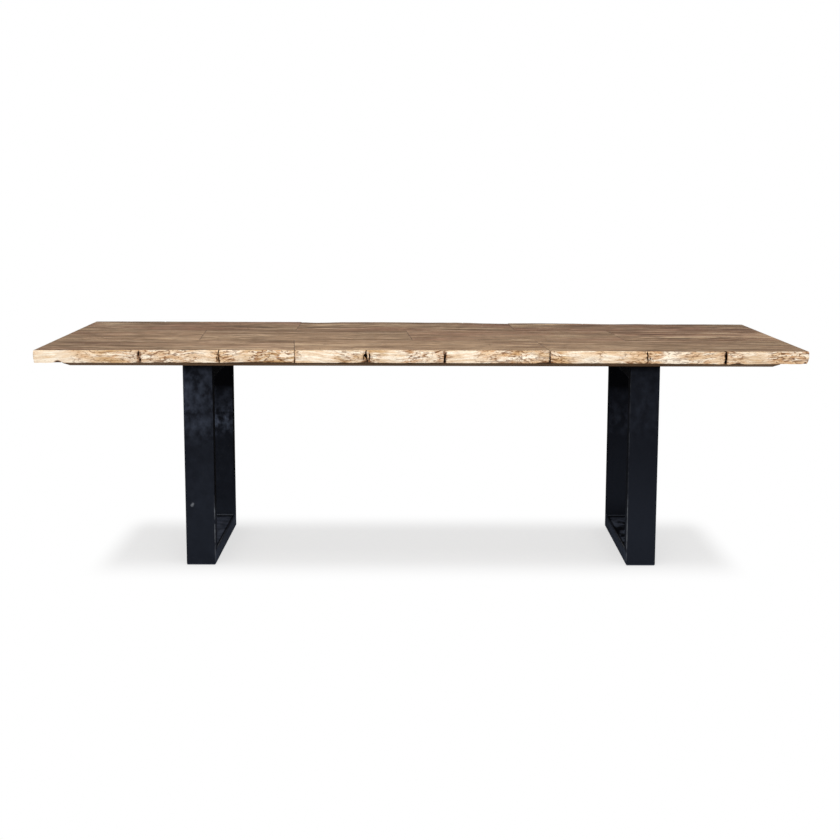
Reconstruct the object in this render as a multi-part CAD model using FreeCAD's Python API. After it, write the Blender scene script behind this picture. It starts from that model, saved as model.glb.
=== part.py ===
import FreeCAD
import Part
import math
import os

# Dining table with a top of petrified wood: ten stone slabs lie in three rows on a bevelled backing board,
# and two welded loop legs of box section carry the board. X runs along the table, -Y is the front, +Z is up,
# and the origin is on the floor below the middle of the top. All sizes are in millimetres.

# Whole table
TABLE_LENGTH = 2500.0
TABLE_WIDTH = 1000.0
TABLE_HEIGHT = 760.0

# The right end was sawn out of square: how far it comes in from the front to the back
RIGHT_END_SKEW = 30.0

# Stone slabs, in a front, a middle and a back row. The middle row takes the depth that the others leave.
SLAB_THICKNESS = 42.0
FRONT_ROW_DEPTH = 333.0
BACK_ROW_DEPTH = 333.0
JOINT_GAP = 1.2

# Joints across a row, left to right: X at the row's front line and X at its back line
FRONT_ROW_JOINTS = ((-408.0, -436.0), (417.0, 388.0))
MIDDLE_ROW_JOINTS = ((-760.0, -781.0), (-30.0, -56.0), (701.0, 674.0))
BACK_ROW_JOINTS = ((-456.0, -458.0), (342.0, 330.0))

# Natural long edges, a line of stations for each slab: share of the slab's length, inset from the row's line
FRONT_NATURAL_EDGES = (
    ((0.0, 3.0), (0.25, 6.0), (0.55, 14.0), (0.85, 22.0), (1.0, 18.0)),
    ((0.0, 17.0), (0.4, 19.0), (0.75, 21.0), (1.0, 17.0)),
    ((0.0, 9.0), (0.2, 8.0), (0.38, 1.0), (0.7, 0.0), (0.85, 8.0), (1.0, 8.0)),
)
BACK_NATURAL_EDGES = (
    ((0.0, 4.0), (0.15, 0.0), (0.5, 1.0), (0.8, 6.0), (1.0, 6.0)),
    (
        (0.0, 14.0), (0.085, 42.0), (0.16, 16.0), (0.21, 9.0), (0.4, 7.0), (0.5, 12.0),
        (0.62, 22.0), (0.73, 17.0), (0.79, 23.0), (0.86, 45.0), (1.0, 62.0),
    ),
    (
        (0.0, 42.0), (0.1, 38.0), (0.3, 48.0), (0.36, 62.0), (0.43, 73.0), (0.55, 62.0),
        (0.66, 74.0), (0.8, 66.0), (1.0, 71.0),
    ),
)

# Section of a natural edge: worn at the top, standing out most at its belly, undercut at its foot
NATURAL_ARRIS = 3.0
BELLY_DROP = 15.0
NATURAL_UNDERCUT = 9.0

# Section of a sawn table end, which has its belly at the same height
SAWN_ARRIS = 1.5
LEFT_END_UNDERCUT = 0.5
RIGHT_END_UNDERCUT = 5.0

# Rock relief of a natural edge: depth of its hollows, the share left at the polished top, the spacing of the
# columns that carry it, and the bands of outlines above the belly and below it
RELIEF_DEPTH = 3.5
RELIEF_AT_TOP = 0.25
RELIEF_PITCH = 50.0
RELIEF_BANDS = 3

# Two waves whose product is the relief: turns in each column, turns in the slab's thickness, start in turns
RELIEF_WAVES = ((0.29, 0.9, 0.0), (0.47, -1.3, 0.16))

# Open cracks across the front edge: X of the crack, width at its mouth, depth into the slab
FRONT_CRACKS = (
    (-907.0, 7.0, 26.0),
    (-654.0, 5.0, 20.0),
    (-178.0, 9.0, 28.0),
    (74.0, 4.0, 30.0),
    (728.0, 6.0, 20.0),
    (979.0, 7.0, 34.0),
)

# Resin in the joints: how far it stays below the polished face, and back from the ends and natural edges
RESIN_RECESS = 0.8
RESIN_SETBACK = 14.0

# Adhesive bed and backing board, which is bevelled below all round
BED_THICKNESS = 1.5
BOARD_THICKNESS = 18.0
BOARD_END_INSET = 75.0
BOARD_SIDE_INSET = 90.0
BEVEL_RUN = 20.0
BEVEL_RISE = 10.0

# Loop legs of stock box section, mitred and welded at the corners: middles set in from the table's ends, faces
# set in from its long sides
LEG_END_INSET = 500.0
LEG_SIDE_INSET = 200.0
TUBE_WIDTH = 100.0
TUBE_DEPTH = 50.0
TUBE_WALL = 3.0
TUBE_CORNER_RADIUS = 5.0

# Mounting plate on each loop, short of the loop's faces, held by stitch welds along both sides of the top rail
PLATE_WIDTH = 180.0
PLATE_END_INSET = 30.0
PLATE_THICKNESS = 6.0
PLATE_CORNER_RADIUS = 12.0
WELD_LEG = 4.0
STITCH_LENGTH = 45.0
STITCH_PITCH = 160.0
STITCHES_PER_SIDE = 3

# Flange bolts from below, through the plate into threaded inserts in the board
BOLTS_PER_SIDE = 2
BOLT_END_INSET = 50.0
BOLT_ROW_SPACING = 140.0
BOLT_RADIUS = 4.0
BOLT_LENGTH = 20.0
HEAD_ACROSS_FLATS = 13.0
HEAD_HEIGHT = 8.0
FLANGE_RADIUS = 9.0
FLANGE_THICKNESS = 1.6
CLEARANCE_HOLE_GAP = 0.5
INSERT_RADIUS = 6.0
INSERT_LENGTH = 15.0
THREAD_GAP = 0.05
INSERT_GAP = 0.05
HOLE_TIP_GAP = 1.0

# Felt pads under each end of a floor rail
PAD_WIDTH = 80.0
PAD_LENGTH = 60.0
PAD_THICKNESS = 3.0
PAD_CORNER_RADIUS = 6.0
PAD_END_INSET = 15.0

# Heights of the layers, from the top down
SLAB_BOTTOM = TABLE_HEIGHT - SLAB_THICKNESS
BOARD_TOP = SLAB_BOTTOM - BED_THICKNESS
BOARD_BOTTOM = BOARD_TOP - BOARD_THICKNESS
LOOP_TOP = BOARD_BOTTOM - PLATE_THICKNESS

# Lines of the left end and of the rows across the table, and the board's outline
LEFT_END = -TABLE_LENGTH / 2
FRONT_LINE = -TABLE_WIDTH / 2
FRONT_JOINT_LINE = FRONT_LINE + FRONT_ROW_DEPTH
BACK_LINE = TABLE_WIDTH / 2
BACK_JOINT_LINE = BACK_LINE - BACK_ROW_DEPTH
BOARD_LENGTH = TABLE_LENGTH - 2 * BOARD_END_INSET
BOARD_WIDTH = TABLE_WIDTH - 2 * BOARD_SIDE_INSET

# Depth of a loop, length of its plate, and pitch of the bolts along the plate
LEG_DEPTH = TABLE_WIDTH - 2 * LEG_SIDE_INSET
PLATE_LENGTH = LEG_DEPTH - 2 * PLATE_END_INSET
BOLT_PITCH = (PLATE_LENGTH - 2 * BOLT_END_INSET) / (BOLTS_PER_SIDE - 1)

SIDES = (-1, 1)


def polygon_prism(points, direction):
    """A solid from a flat polygon of vectors, pushed along a direction."""
    wire = Part.makePolygon([*points, points[0]])
    return Part.Face(wire).extrude(direction)


def centred_box(size_x, size_y, size_z, centre):
    """A box about a centre."""
    size = FreeCAD.Vector(size_x, size_y, size_z)
    return Part.makeBox(size_x, size_y, size_z, centre - size / 2)


def rounded_box(size_x, size_y, size_z, centre, axis, radius):
    """A box about a centre, with the four edges along an axis rounded."""
    box = centred_box(size_x, size_y, size_z, centre)
    long_edges = [e for e in box.Edges if abs(e.tangentAt(e.FirstParameter).dot(axis)) > 0.9]
    return box.makeFillet(radius, long_edges)


def even_places(count, pitch):
    """Evenly pitched places about zero."""
    return [(i - (count - 1) / 2) * pitch for i in range(count)]


def right_end(y):
    """X of the right end at a place across the table."""
    return TABLE_LENGTH / 2 - RIGHT_END_SKEW * (y - FRONT_LINE) / TABLE_WIDTH


class Row:
    """One row of slabs between two lines across the table, with the joints that divide it."""

    def __init__(self, front, back, joints, front_edges=None, back_edges=None):
        self.front = front
        self.back = back
        self.joints = joints
        self.divisions = [(LEFT_END, LEFT_END), *joints, (right_end(front), right_end(back))]
        self.front_edges = front_edges
        self.back_edges = back_edges

    def x_on(self, division, y):
        """X of a division's slanting line at a place across the table."""
        x_front, x_back = division
        return x_front + (x_back - x_front) * (y - self.front) / (self.back - self.front)

    def slab(self, index):
        """One slab of the row, lofted through outlines from its foot to its top."""
        wires = [self.outline(index, drop) for drop in reversed(section_drops())]
        return Part.makeLoft(wires, True, True).removeSplitter()

    def outline(self, index, drop):
        """The slab's closed outline at one drop below the top."""
        last = len(self.divisions) - 2
        left_inset = right_inset = JOINT_GAP / 2
        if index == 0:
            left_inset = section_inset(drop, SAWN_ARRIS, LEFT_END_UNDERCUT)
        if index == last:
            right_inset = section_inset(drop, SAWN_ARRIS, RIGHT_END_UNDERCUT)

        def ends_at(y):
            left = self.x_on(self.divisions[index], y) + left_inset
            right = self.x_on(self.divisions[index + 1], y) - right_inset
            return left, right

        front_stations = self.front_edges[index] if self.front_edges else None
        back_stations = self.back_edges[index] if self.back_edges else None
        front = long_edge(self.front, 1, front_stations, drop, ends_at)
        back = long_edge(self.back, -1, back_stations, drop, ends_at)
        return closed_outline(front, back, TABLE_HEIGHT - drop)

    def joint_resin(self, joint_index):
        """The resin in one joint of the row, short of the natural edges and of the rows' own joints."""
        front = self.front + self.resin_inset(self.front_edges, joint_index)
        back = self.back - self.resin_inset(self.back_edges, joint_index)
        joint = self.joints[joint_index]
        points = []
        for y, side in ((front, -1), (front, 1), (back, 1), (back, -1)):
            x = self.x_on(joint, y) + side * JOINT_GAP / 2
            points.append(FreeCAD.Vector(x, y, SLAB_BOTTOM))
        return polygon_prism(points, FreeCAD.Vector(0, 0, SLAB_THICKNESS - RESIN_RECESS))

    def resin_inset(self, edges, joint_index):
        """How far a joint's resin stops from a line of the row."""
        if edges is None:
            return JOINT_GAP / 2
        deepest = max(edges[joint_index][-1][1], edges[joint_index + 1][0][1])
        return deepest + NATURAL_UNDERCUT + RELIEF_DEPTH + RESIN_SETBACK


def section_drops():
    """Drops below the top at which a slab's outline is drawn: as many bands above the belly as below it."""
    above = [BELLY_DROP * i / RELIEF_BANDS for i in range(RELIEF_BANDS)]
    below_belly = SLAB_THICKNESS - BELLY_DROP
    return above + [BELLY_DROP + below_belly * i / RELIEF_BANDS for i in range(RELIEF_BANDS + 1)]


def section_inset(drop, arris, undercut):
    """Inset of an edge at a drop below the top: one parabola up to the arris, another down to the foot."""
    if drop < BELLY_DROP:
        return arris * (1 - drop / BELLY_DROP) ** 2
    return undercut * ((drop - BELLY_DROP) / (SLAB_THICKNESS - BELLY_DROP)) ** 2


def rock_relief(x, drop):
    """Hollow of the rock at one place on a natural edge, small along the top where the slab is polished."""
    product = 1.0
    for along, down, start in RELIEF_WAVES:
        turns = along * x / RELIEF_PITCH + down * drop / SLAB_THICKNESS + start
        product *= math.sin(2 * math.pi * turns)
    return RELIEF_DEPTH * (1 + product) / 2 * min(1.0, RELIEF_AT_TOP + drop / BELLY_DROP)


def inset_between(stations, share):
    """Inset of a natural edge between its stations, eased from each to the next."""
    for (share_a, inset_a), (share_b, inset_b) in zip(stations, stations[1:]):
        if share <= share_b:
            step = (share - share_a) / (share_b - share_a)
            ease = (1 - math.cos(math.pi * step)) / 2
            return inset_a + (inset_b - inset_a) * ease
    return stations[-1][1]


def long_edge(line, inward, stations, drop, ends_at):
    """X and Y along a slab's long edge: two points on a sawn edge, a row of rock relief on a natural one."""
    if stations is None:
        y = line + inward * JOINT_GAP / 2
        return [(x, y) for x in ends_at(y)]
    left, right = ends_at(line)
    columns = max(4, round((right - left) / RELIEF_PITCH))
    points = []
    for i in range(columns + 1):
        share = i / columns
        inset = inset_between(stations, share) + section_inset(drop, NATURAL_ARRIS, NATURAL_UNDERCUT)
        inset += rock_relief(left + share * (right - left), drop)
        y = line + inward * inset
        left_here, right_here = ends_at(y)
        points.append((left_here + share * (right_here - left_here), y))
    return points


def closed_outline(front, back, z):
    """A closed polygon along the front, the right end, the back and the left end."""
    front = [FreeCAD.Vector(x, y, z) for x, y in front]
    back = [FreeCAD.Vector(x, y, z) for x, y in back]
    return Part.makePolygon([*front, *reversed(back), front[0]])


FRONT_ROW = Row(FRONT_LINE, FRONT_JOINT_LINE, FRONT_ROW_JOINTS, front_edges=FRONT_NATURAL_EDGES)
MIDDLE_ROW = Row(FRONT_JOINT_LINE, BACK_JOINT_LINE, MIDDLE_ROW_JOINTS)
BACK_ROW = Row(BACK_JOINT_LINE, BACK_LINE, BACK_ROW_JOINTS, back_edges=BACK_NATURAL_EDGES)


def crack(x, width, depth):
    """The open wedge of one crack, from before the front line to its tip in the slab."""
    reach = depth + max(inset for edge in FRONT_NATURAL_EDGES for _, inset in edge)
    mouth = width / 2 * (reach + depth) / reach
    below = SLAB_BOTTOM - SLAB_THICKNESS
    points = [
        FreeCAD.Vector(x - mouth, FRONT_LINE - depth, below),
        FreeCAD.Vector(x + mouth, FRONT_LINE - depth, below),
        FreeCAD.Vector(x, FRONT_LINE + reach, below),
    ]
    return polygon_prism(points, FreeCAD.Vector(0, 0, 3 * SLAB_THICKNESS))


def front_slabs():
    """The three front slabs, with the cracks across their natural edges."""
    wedges = [crack(*sizes) for sizes in FRONT_CRACKS]
    names = ("left", "middle", "right")
    return {f"front_slab_{name}": FRONT_ROW.slab(i).cut(wedges) for i, name in enumerate(names)}


def middle_slabs():
    """The four slabs of the middle row, sawn on all sides."""
    names = ("far_left", "left", "right", "far_right")
    return {f"middle_slab_{name}": MIDDLE_ROW.slab(i) for i, name in enumerate(names)}


def back_slabs():
    """The three back slabs, with a natural edge at the back."""
    names = ("left", "middle", "right")
    return {f"back_slab_{name}": BACK_ROW.slab(i) for i, name in enumerate(names)}


def joint_resin():
    """The resin in every joint: one strip between each two rows, and one in each joint across a row."""
    height = SLAB_THICKNESS - RESIN_RECESS
    strips = []
    for line in (FRONT_JOINT_LINE, BACK_JOINT_LINE):
        left = LEFT_END + LEFT_END_UNDERCUT + RESIN_SETBACK
        right = right_end(line) - RIGHT_END_UNDERCUT - RESIN_SETBACK
        centre = FreeCAD.Vector((left + right) / 2, line, SLAB_BOTTOM + height / 2)
        strips.append(centred_box(right - left, JOINT_GAP, height, centre))
    for row in (FRONT_ROW, MIDDLE_ROW, BACK_ROW):
        strips += [row.joint_resin(i) for i in range(len(row.joints))]
    return Part.makeCompound(strips)


def adhesive_bed():
    """The layer that bonds the slabs to the board."""
    centre = FreeCAD.Vector(0, 0, BOARD_TOP + BED_THICKNESS / 2)
    return centred_box(BOARD_LENGTH, BOARD_WIDTH, BED_THICKNESS, centre)


def board_outline(inset, z):
    """The board's rectangle at one height, taken in all round."""
    x = BOARD_LENGTH / 2 - inset
    y = BOARD_WIDTH / 2 - inset
    corners = ((-x, -y), (x, -y), (x, y), (-x, y), (-x, -y))
    return Part.makePolygon([FreeCAD.Vector(cx, cy, z) for cx, cy in corners])


def backing_board():
    """The backing board, bevelled below, with blind holes for the threaded inserts."""
    bevel_top = BOARD_BOTTOM + BEVEL_RISE
    upper = Part.makeLoft([board_outline(0.0, bevel_top), board_outline(0.0, BOARD_TOP)], True, True)
    lower = Part.makeLoft([board_outline(BEVEL_RUN, BOARD_BOTTOM), board_outline(0.0, bevel_top)], True, True)
    board = upper.fuse(lower).removeSplitter()
    engaged = BOLT_LENGTH - PLATE_THICKNESS
    depth = max(INSERT_LENGTH, engaged) + HOLE_TIP_GAP
    holes = []
    for side in SIDES:
        for x, y in bolt_places(side):
            mouth = FreeCAD.Vector(x, y, BOARD_BOTTOM)
            holes.append(Part.makeCylinder(INSERT_RADIUS + INSERT_GAP, depth, mouth))
    return board.cut(holes)


def leg_x(side):
    """X of a loop leg's middle plane."""
    return side * (TABLE_LENGTH / 2 - LEG_END_INSET)


def bolt_places(side):
    """X and Y of each bolt of one leg."""
    rows = even_places(2, BOLT_ROW_SPACING)
    return [(leg_x(side) + x, y) for x in rows for y in even_places(BOLTS_PER_SIDE, BOLT_PITCH)]


def box_section(size_y, size_z, centre, axis):
    """A length of box section along an axis, before its mitres are cut."""
    outer = rounded_box(TUBE_WIDTH, size_y, size_z, centre, axis, TUBE_CORNER_RADIUS)
    across = FreeCAD.Vector(1, 1, 1) - axis
    bore_size = FreeCAD.Vector(TUBE_WIDTH, size_y, size_z) - across * (2 * TUBE_WALL)
    return outer.cut(centred_box(*bore_size, centre))


def loop_leg(side):
    """The four mitred tubes of one loop, by name."""
    x = leg_x(side)
    half = LEG_DEPTH / 2
    low = PAD_THICKNESS
    middle = (low + LOOP_TOP) / 2
    along_y = FreeCAD.Vector(0, 1, 0)
    along_z = FreeCAD.Vector(0, 0, 1)
    outer = ((-half, low), (half, low), (half, LOOP_TOP), (-half, LOOP_TOP))
    inner_half = half - TUBE_DEPTH
    inner_low = low + TUBE_DEPTH
    inner_top = LOOP_TOP - TUBE_DEPTH
    inner = (
        (-inner_half, inner_low),
        (inner_half, inner_low),
        (inner_half, inner_top),
        (-inner_half, inner_top),
    )
    rail_heights = (low + TUBE_DEPTH / 2, LOOP_TOP - TUBE_DEPTH / 2)
    post_places = (half - TUBE_DEPTH / 2, TUBE_DEPTH / 2 - half)
    height = LOOP_TOP - low
    floor_rail, top_rail = (
        box_section(LEG_DEPTH, TUBE_DEPTH, FreeCAD.Vector(x, 0, z), along_y) for z in rail_heights
    )
    rear_post, front_post = (
        box_section(TUBE_DEPTH, height, FreeCAD.Vector(x, y, middle), along_z) for y in post_places
    )
    tubes = {"floor_rail": floor_rail, "rear_post": rear_post, "top_rail": top_rail, "front_post": front_post}
    mitred = {}
    for i, (name, tube) in enumerate(tubes.items()):
        following = (i + 1) % 4
        corners = (outer[i], outer[following], inner[following], inner[i])
        points = [FreeCAD.Vector(x - TUBE_WIDTH, y, z) for y, z in corners]
        mitred[name] = tube.common(polygon_prism(points, FreeCAD.Vector(2 * TUBE_WIDTH, 0, 0)))
    return mitred


def mounting_plate(side):
    """The plate between a loop and the board, with clearance holes for the bolts."""
    centre = FreeCAD.Vector(leg_x(side), 0, LOOP_TOP + PLATE_THICKNESS / 2)
    along_z = FreeCAD.Vector(0, 0, 1)
    plate = rounded_box(PLATE_WIDTH, PLATE_LENGTH, PLATE_THICKNESS, centre, along_z, PLATE_CORNER_RADIUS)
    radius = BOLT_RADIUS + CLEARANCE_HOLE_GAP
    holes = []
    for x, y in bolt_places(side):
        holes.append(Part.makeCylinder(radius, PLATE_THICKNESS, FreeCAD.Vector(x, y, LOOP_TOP)))
    return plate.cut(holes)


def plate_welds(side):
    """Stitch welds that fill the groove between the plate and the top rail's rounded corners."""
    x = leg_x(side)
    face = TUBE_WIDTH / 2
    rail = rounded_box(
        TUBE_WIDTH,
        LEG_DEPTH,
        TUBE_DEPTH,
        FreeCAD.Vector(x, 0, LOOP_TOP - TUBE_DEPTH / 2),
        FreeCAD.Vector(0, 1, 0),
        TUBE_CORNER_RADIUS,
    )
    section = (
        (face - TUBE_CORNER_RADIUS, LOOP_TOP),
        (face + WELD_LEG, LOOP_TOP),
        (face, LOOP_TOP - TUBE_CORNER_RADIUS - WELD_LEG),
    )
    stitches = []
    for hand in SIDES:
        for y in even_places(STITCHES_PER_SIDE, STITCH_PITCH):
            points = [FreeCAD.Vector(x + hand * sx, y - STITCH_LENGTH / 2, sz) for sx, sz in section]
            stitches.append(polygon_prism(points, FreeCAD.Vector(0, STITCH_LENGTH, 0)).cut(rail))
    return Part.makeCompound(stitches)


def flange_bolt(x, y):
    """A hexagon flange bolt that points up, seated against the plate's underside."""
    seat = FreeCAD.Vector(x, y, LOOP_TOP)
    corner = HEAD_ACROSS_FLATS / 2 / math.cos(math.radians(30))
    points = []
    for i in range(6):
        angle = math.radians(60 * i)
        points.append(seat + FreeCAD.Vector(corner * math.cos(angle), corner * math.sin(angle), -HEAD_HEIGHT))
    head = polygon_prism(points, FreeCAD.Vector(0, 0, HEAD_HEIGHT))
    flange = Part.makeCylinder(FLANGE_RADIUS, FLANGE_THICKNESS, seat - FreeCAD.Vector(0, 0, FLANGE_THICKNESS))
    shank = Part.makeCylinder(BOLT_RADIUS, BOLT_LENGTH, seat)
    return head.fuse([flange, shank]).removeSplitter()


def threaded_insert(x, y):
    """A threaded insert, flush with the board's underside."""
    mouth = FreeCAD.Vector(x, y, BOARD_BOTTOM)
    body = Part.makeCylinder(INSERT_RADIUS, INSERT_LENGTH, mouth)
    return body.cut(Part.makeCylinder(BOLT_RADIUS + THREAD_GAP, INSERT_LENGTH, mouth))


def floor_pad(side, end):
    """A felt pad under one end of a floor rail."""
    y = end * (LEG_DEPTH / 2 - PAD_END_INSET - PAD_LENGTH / 2)
    centre = FreeCAD.Vector(leg_x(side), y, PAD_THICKNESS / 2)
    along_z = FreeCAD.Vector(0, 0, 1)
    return rounded_box(PAD_WIDTH, PAD_LENGTH, PAD_THICKNESS, centre, along_z, PAD_CORNER_RADIUS)


def whole_leg(side):
    """Every piece of one leg, by name."""
    pieces = loop_leg(side)
    pieces["mounting_plate"] = mounting_plate(side)
    pieces["plate_welds"] = plate_welds(side)
    pieces["bolts"] = Part.makeCompound([flange_bolt(x, y) for x, y in bolt_places(side)])
    pieces["threaded_inserts"] = Part.makeCompound([threaded_insert(x, y) for x, y in bolt_places(side)])
    pieces["front_floor_pad"] = floor_pad(side, -1)
    pieces["rear_floor_pad"] = floor_pad(side, 1)
    return pieces


def whole_table():
    """Every piece of the table, by name."""
    pieces = {**front_slabs(), **middle_slabs(), **back_slabs()}
    pieces["joint_resin"] = joint_resin()
    pieces["adhesive_bed"] = adhesive_bed()
    pieces["backing_board"] = backing_board()
    for side, name in zip(SIDES, ("left", "right")):
        for piece, shape in whole_leg(side).items():
            pieces[f"{name}_leg_{piece}"] = shape
    return pieces


os.makedirs("parts", exist_ok=True)
for node, shape in whole_table().items():
    shape.exportStep(f"parts/{node}.step")
    print(f"{node}: {len(shape.Solids)} solids, {shape.Volume / 1000:.1f} cm3, valid {shape.isValid()}")
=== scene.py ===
"""A petrified wood dining table on two loop legs of blackened steel, dressed around its packed frame."""

import math
from collections import namedtuple
from functools import partial
from types import SimpleNamespace

import bmesh
import bpy
import numpy as np
from bpy.props import FloatProperty, FloatVectorProperty, PointerProperty
from mathutils import Matrix, Vector, noise
from mathutils.bvhtree import BVHTree


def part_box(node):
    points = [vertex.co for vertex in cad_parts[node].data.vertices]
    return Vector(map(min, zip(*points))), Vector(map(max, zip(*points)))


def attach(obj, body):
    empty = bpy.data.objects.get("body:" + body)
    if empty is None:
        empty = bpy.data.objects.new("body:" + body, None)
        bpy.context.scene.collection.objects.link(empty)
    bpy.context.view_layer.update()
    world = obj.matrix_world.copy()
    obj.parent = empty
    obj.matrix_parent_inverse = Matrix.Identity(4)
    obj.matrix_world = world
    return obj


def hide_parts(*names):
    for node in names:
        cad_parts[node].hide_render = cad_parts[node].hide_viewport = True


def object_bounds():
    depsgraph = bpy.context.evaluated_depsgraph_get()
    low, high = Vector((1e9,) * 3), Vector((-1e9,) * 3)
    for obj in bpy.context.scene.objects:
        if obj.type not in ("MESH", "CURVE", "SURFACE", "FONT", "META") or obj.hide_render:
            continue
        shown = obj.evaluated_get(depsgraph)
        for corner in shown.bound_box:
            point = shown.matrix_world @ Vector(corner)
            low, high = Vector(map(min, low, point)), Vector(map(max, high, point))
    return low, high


bl_info = {
    "name": "Petrified wood dining table",
    "version": (1, 0, 0),
    "blender": (4, 5, 0),
    "location": "3D View > Sidebar > Table",
    "description": "Natural rock edges, finishes and studio for a petrified wood table on loop legs",
    "category": "Object",
}

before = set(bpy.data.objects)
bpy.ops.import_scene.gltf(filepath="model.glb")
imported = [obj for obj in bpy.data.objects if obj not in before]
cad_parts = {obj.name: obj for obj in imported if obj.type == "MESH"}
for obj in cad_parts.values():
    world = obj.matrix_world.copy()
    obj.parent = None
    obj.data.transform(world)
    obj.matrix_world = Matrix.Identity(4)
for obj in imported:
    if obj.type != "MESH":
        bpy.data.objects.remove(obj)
CAD_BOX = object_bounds()

MM = 0.001
FRONT, SAWN, BACK = -1, 0, 1

# Each leg: how light its upper and lower black is, how unevenly the bath took, how black the painted shade
# on its inner sides is, how dark and patchy the top of its floor rail is, what moves its patterns, and its
# chips as X, Y, Z and size in mm.
Leg = namedtuple("Leg", "name upper lower bloom inner smudged seed chips")
LEGS = (
    Leg("left", 0.88, 1.0, 1.0, 0.95, 0.0, 3.1, (
        (-778, -300, 210, 9.5), (-774.5, -300, 215, 8.5), (-800, 118, 30, 7.0), (-731, 300, 96, 6.0),
    )),
    Leg("right", 0.81, 1.10, 0.27, 0.35, 0.85, 8.7, ((800, -64, 22, 7.0), (768, 300, 133, 6.5))),
)

# Each slab is sawn from a log of its own: seed and grain move the patterns of its rock and of its grain,
# tone lightens or darkens it, fade lightens it to the right, figure is how strongly its grain shows, purple
# and rust are its shares of iron on the face and on the natural edge, and heart is its share of dark grain
# along its back joint.
Slab = namedtuple("Slab", "node side seed grain tone fade figure purple rust heart")
NATURAL_SLABS = (
    Slab("front_slab_left", FRONT, 11.3, 18.15, 0.94, 0.13, 0.90, 0.35, 0.57, 0.25),
    Slab("front_slab_middle", FRONT, 27.8, 55.2, 1.09, -0.05, 0.75, 0.15, 0.40, 0.55),
    Slab("front_slab_right", FRONT, 43.1, 58.17, 0.96, -0.05, 0.80, 0.20, 0.65, 0.00),
    Slab("back_slab_left", BACK, 58.6, 86.0, 0.85, 0.01, 1.20, 0.85, 0.50, 0.00),
    Slab("back_slab_middle", BACK, 74.2, 100.23, 0.86, -0.06, 1.25, 0.60, 0.40, 0.00),
    Slab("back_slab_right", BACK, 89.7, 106.14, 0.73, -0.12, 1.36, 0.78, 0.55, 0.00),
)
SAWN_SLABS = (
    Slab("middle_slab_far_left", SAWN, 105.4, 117.73, 1.01, 0.04, 0.85, 0.40, 0.40, 0.62),
    Slab("middle_slab_left", SAWN, 121.9, 161.63, 0.95, -0.03, 0.90, 0.25, 0.40, 0.75),
    Slab("middle_slab_right", SAWN, 137.2, 159.12, 0.91, -0.02, 0.80, 0.60, 0.40, 0.08),
    Slab("middle_slab_far_right", SAWN, 153.5, 167.2, 1.02, 0.05, 1.25, 0.50, 0.40, 0.30),
)
# Pale veins of clear silica along the grain of a slab, in mm: X from and to, Y, and half the width.
VEINS = {
    "middle_slab_far_right": ((840, 1235, -34, 13),),
    "middle_slab_far_left": ((-1180, -1010, 20, 9),),
    "back_slab_right": ((420, 560, 395, 10),),
}

# Open cracks across a natural edge, in mm: X, depth, and a path from foot to top of (share of the height,
# offset from X, width). A short one beside another is a branch of it.
Crack = namedtuple("Crack", "x depth path")
FRONT_CRACKS = (
    Crack(-908, 22, ((0.04, -0.8, 2.4), (0.20, 0.2, 4.4), (0.34, 0.0, 2.0), (0.40, -0.6, 1.0))),
    Crack(-913, 22, ((0.52, 0.6, 1.2), (0.58, 0.2, 3.0), (0.70, -0.2, 5.4), (0.84, 0.8, 2.4),
                     (0.95, 2.4, 1.2))),
    Crack(-654, 15, ((0.02, 1.4, 3.2), (0.22, 0.6, 3.8), (0.45, -1.2, 2.2), (0.65, -2.6, 2.6),
                     (0.85, -0.8, 2.8), (0.99, 0.8, 3.0))),
    Crack(-660, 9, ((0.22, 1.5, 1.8), (0.36, 0.0, 3.2), (0.46, -1.0, 1.8))),
    Crack(-179, 24, ((0.02, 5.4, 3.4), (0.20, 4.2, 3.0), (0.40, 1.0, 4.4), (0.52, -1.8, 13.0),
                     (0.62, -1.8, 9.0), (0.72, -0.6, 3.4), (0.98, 0.4, 2.8))),
    Crack(-168, 14, ((0.16, -0.6, 2.4), (0.45, 0.8, 3.6), (0.66, 0.2, 3.0))),
    Crack(-187, 9, ((0.22, 0.8, 2.0), (0.50, -0.6, 2.8))),
    Crack(76, 28, ((0.0, 0.4, 6.6), (0.30, -0.3, 6.4), (0.60, 0.4, 5.6), (0.74, 0.8, 3.0))),
    Crack(728, 12, ((0.10, 2.4, 2.8), (0.30, 2.8, 3.2), (0.48, -0.8, 3.4), (0.64, 1.6, 3.0),
                    (0.82, -0.8, 3.8), (0.97, -1.2, 3.0))),
    Crack(737, 7, ((0.28, -1.5, 1.8), (0.42, 1.0, 2.4), (0.52, -1.0, 1.6))),
    Crack(980, 28, ((0.0, 0.6, 6.4), (0.35, 0.8, 7.4), (0.75, 0.8, 6.4), (1.0, 0.5, 4.6))),
)
BACK_CRACKS = (
    Crack(-980, 18, ((0.0, 3.0, 5.0), (0.5, -1.0, 4.0), (1.0, -3.0, 4.5))),
    Crack(-655, 14, ((0.0, -2.0, 4.0), (0.4, 1.5, 4.5), (0.8, 2.0, 2.5))),
    Crack(-120, 20, ((0.0, -2.5, 6.0), (0.45, 2.0, 7.0), (0.95, 2.5, 3.5))),
    Crack(160, 16, ((0.2, 1.5, 4.0), (0.6, -1.0, 5.0), (1.0, -1.5, 3.0))),
    Crack(610, 18, ((0.0, -3.0, 5.0), (0.5, 1.0, 4.0), (1.0, 3.0, 4.5))),
    Crack(1020, 20, ((0.0, 2.0, 5.5), (0.5, 0.0, 4.5), (0.9, -2.0, 3.0))),
)
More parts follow.
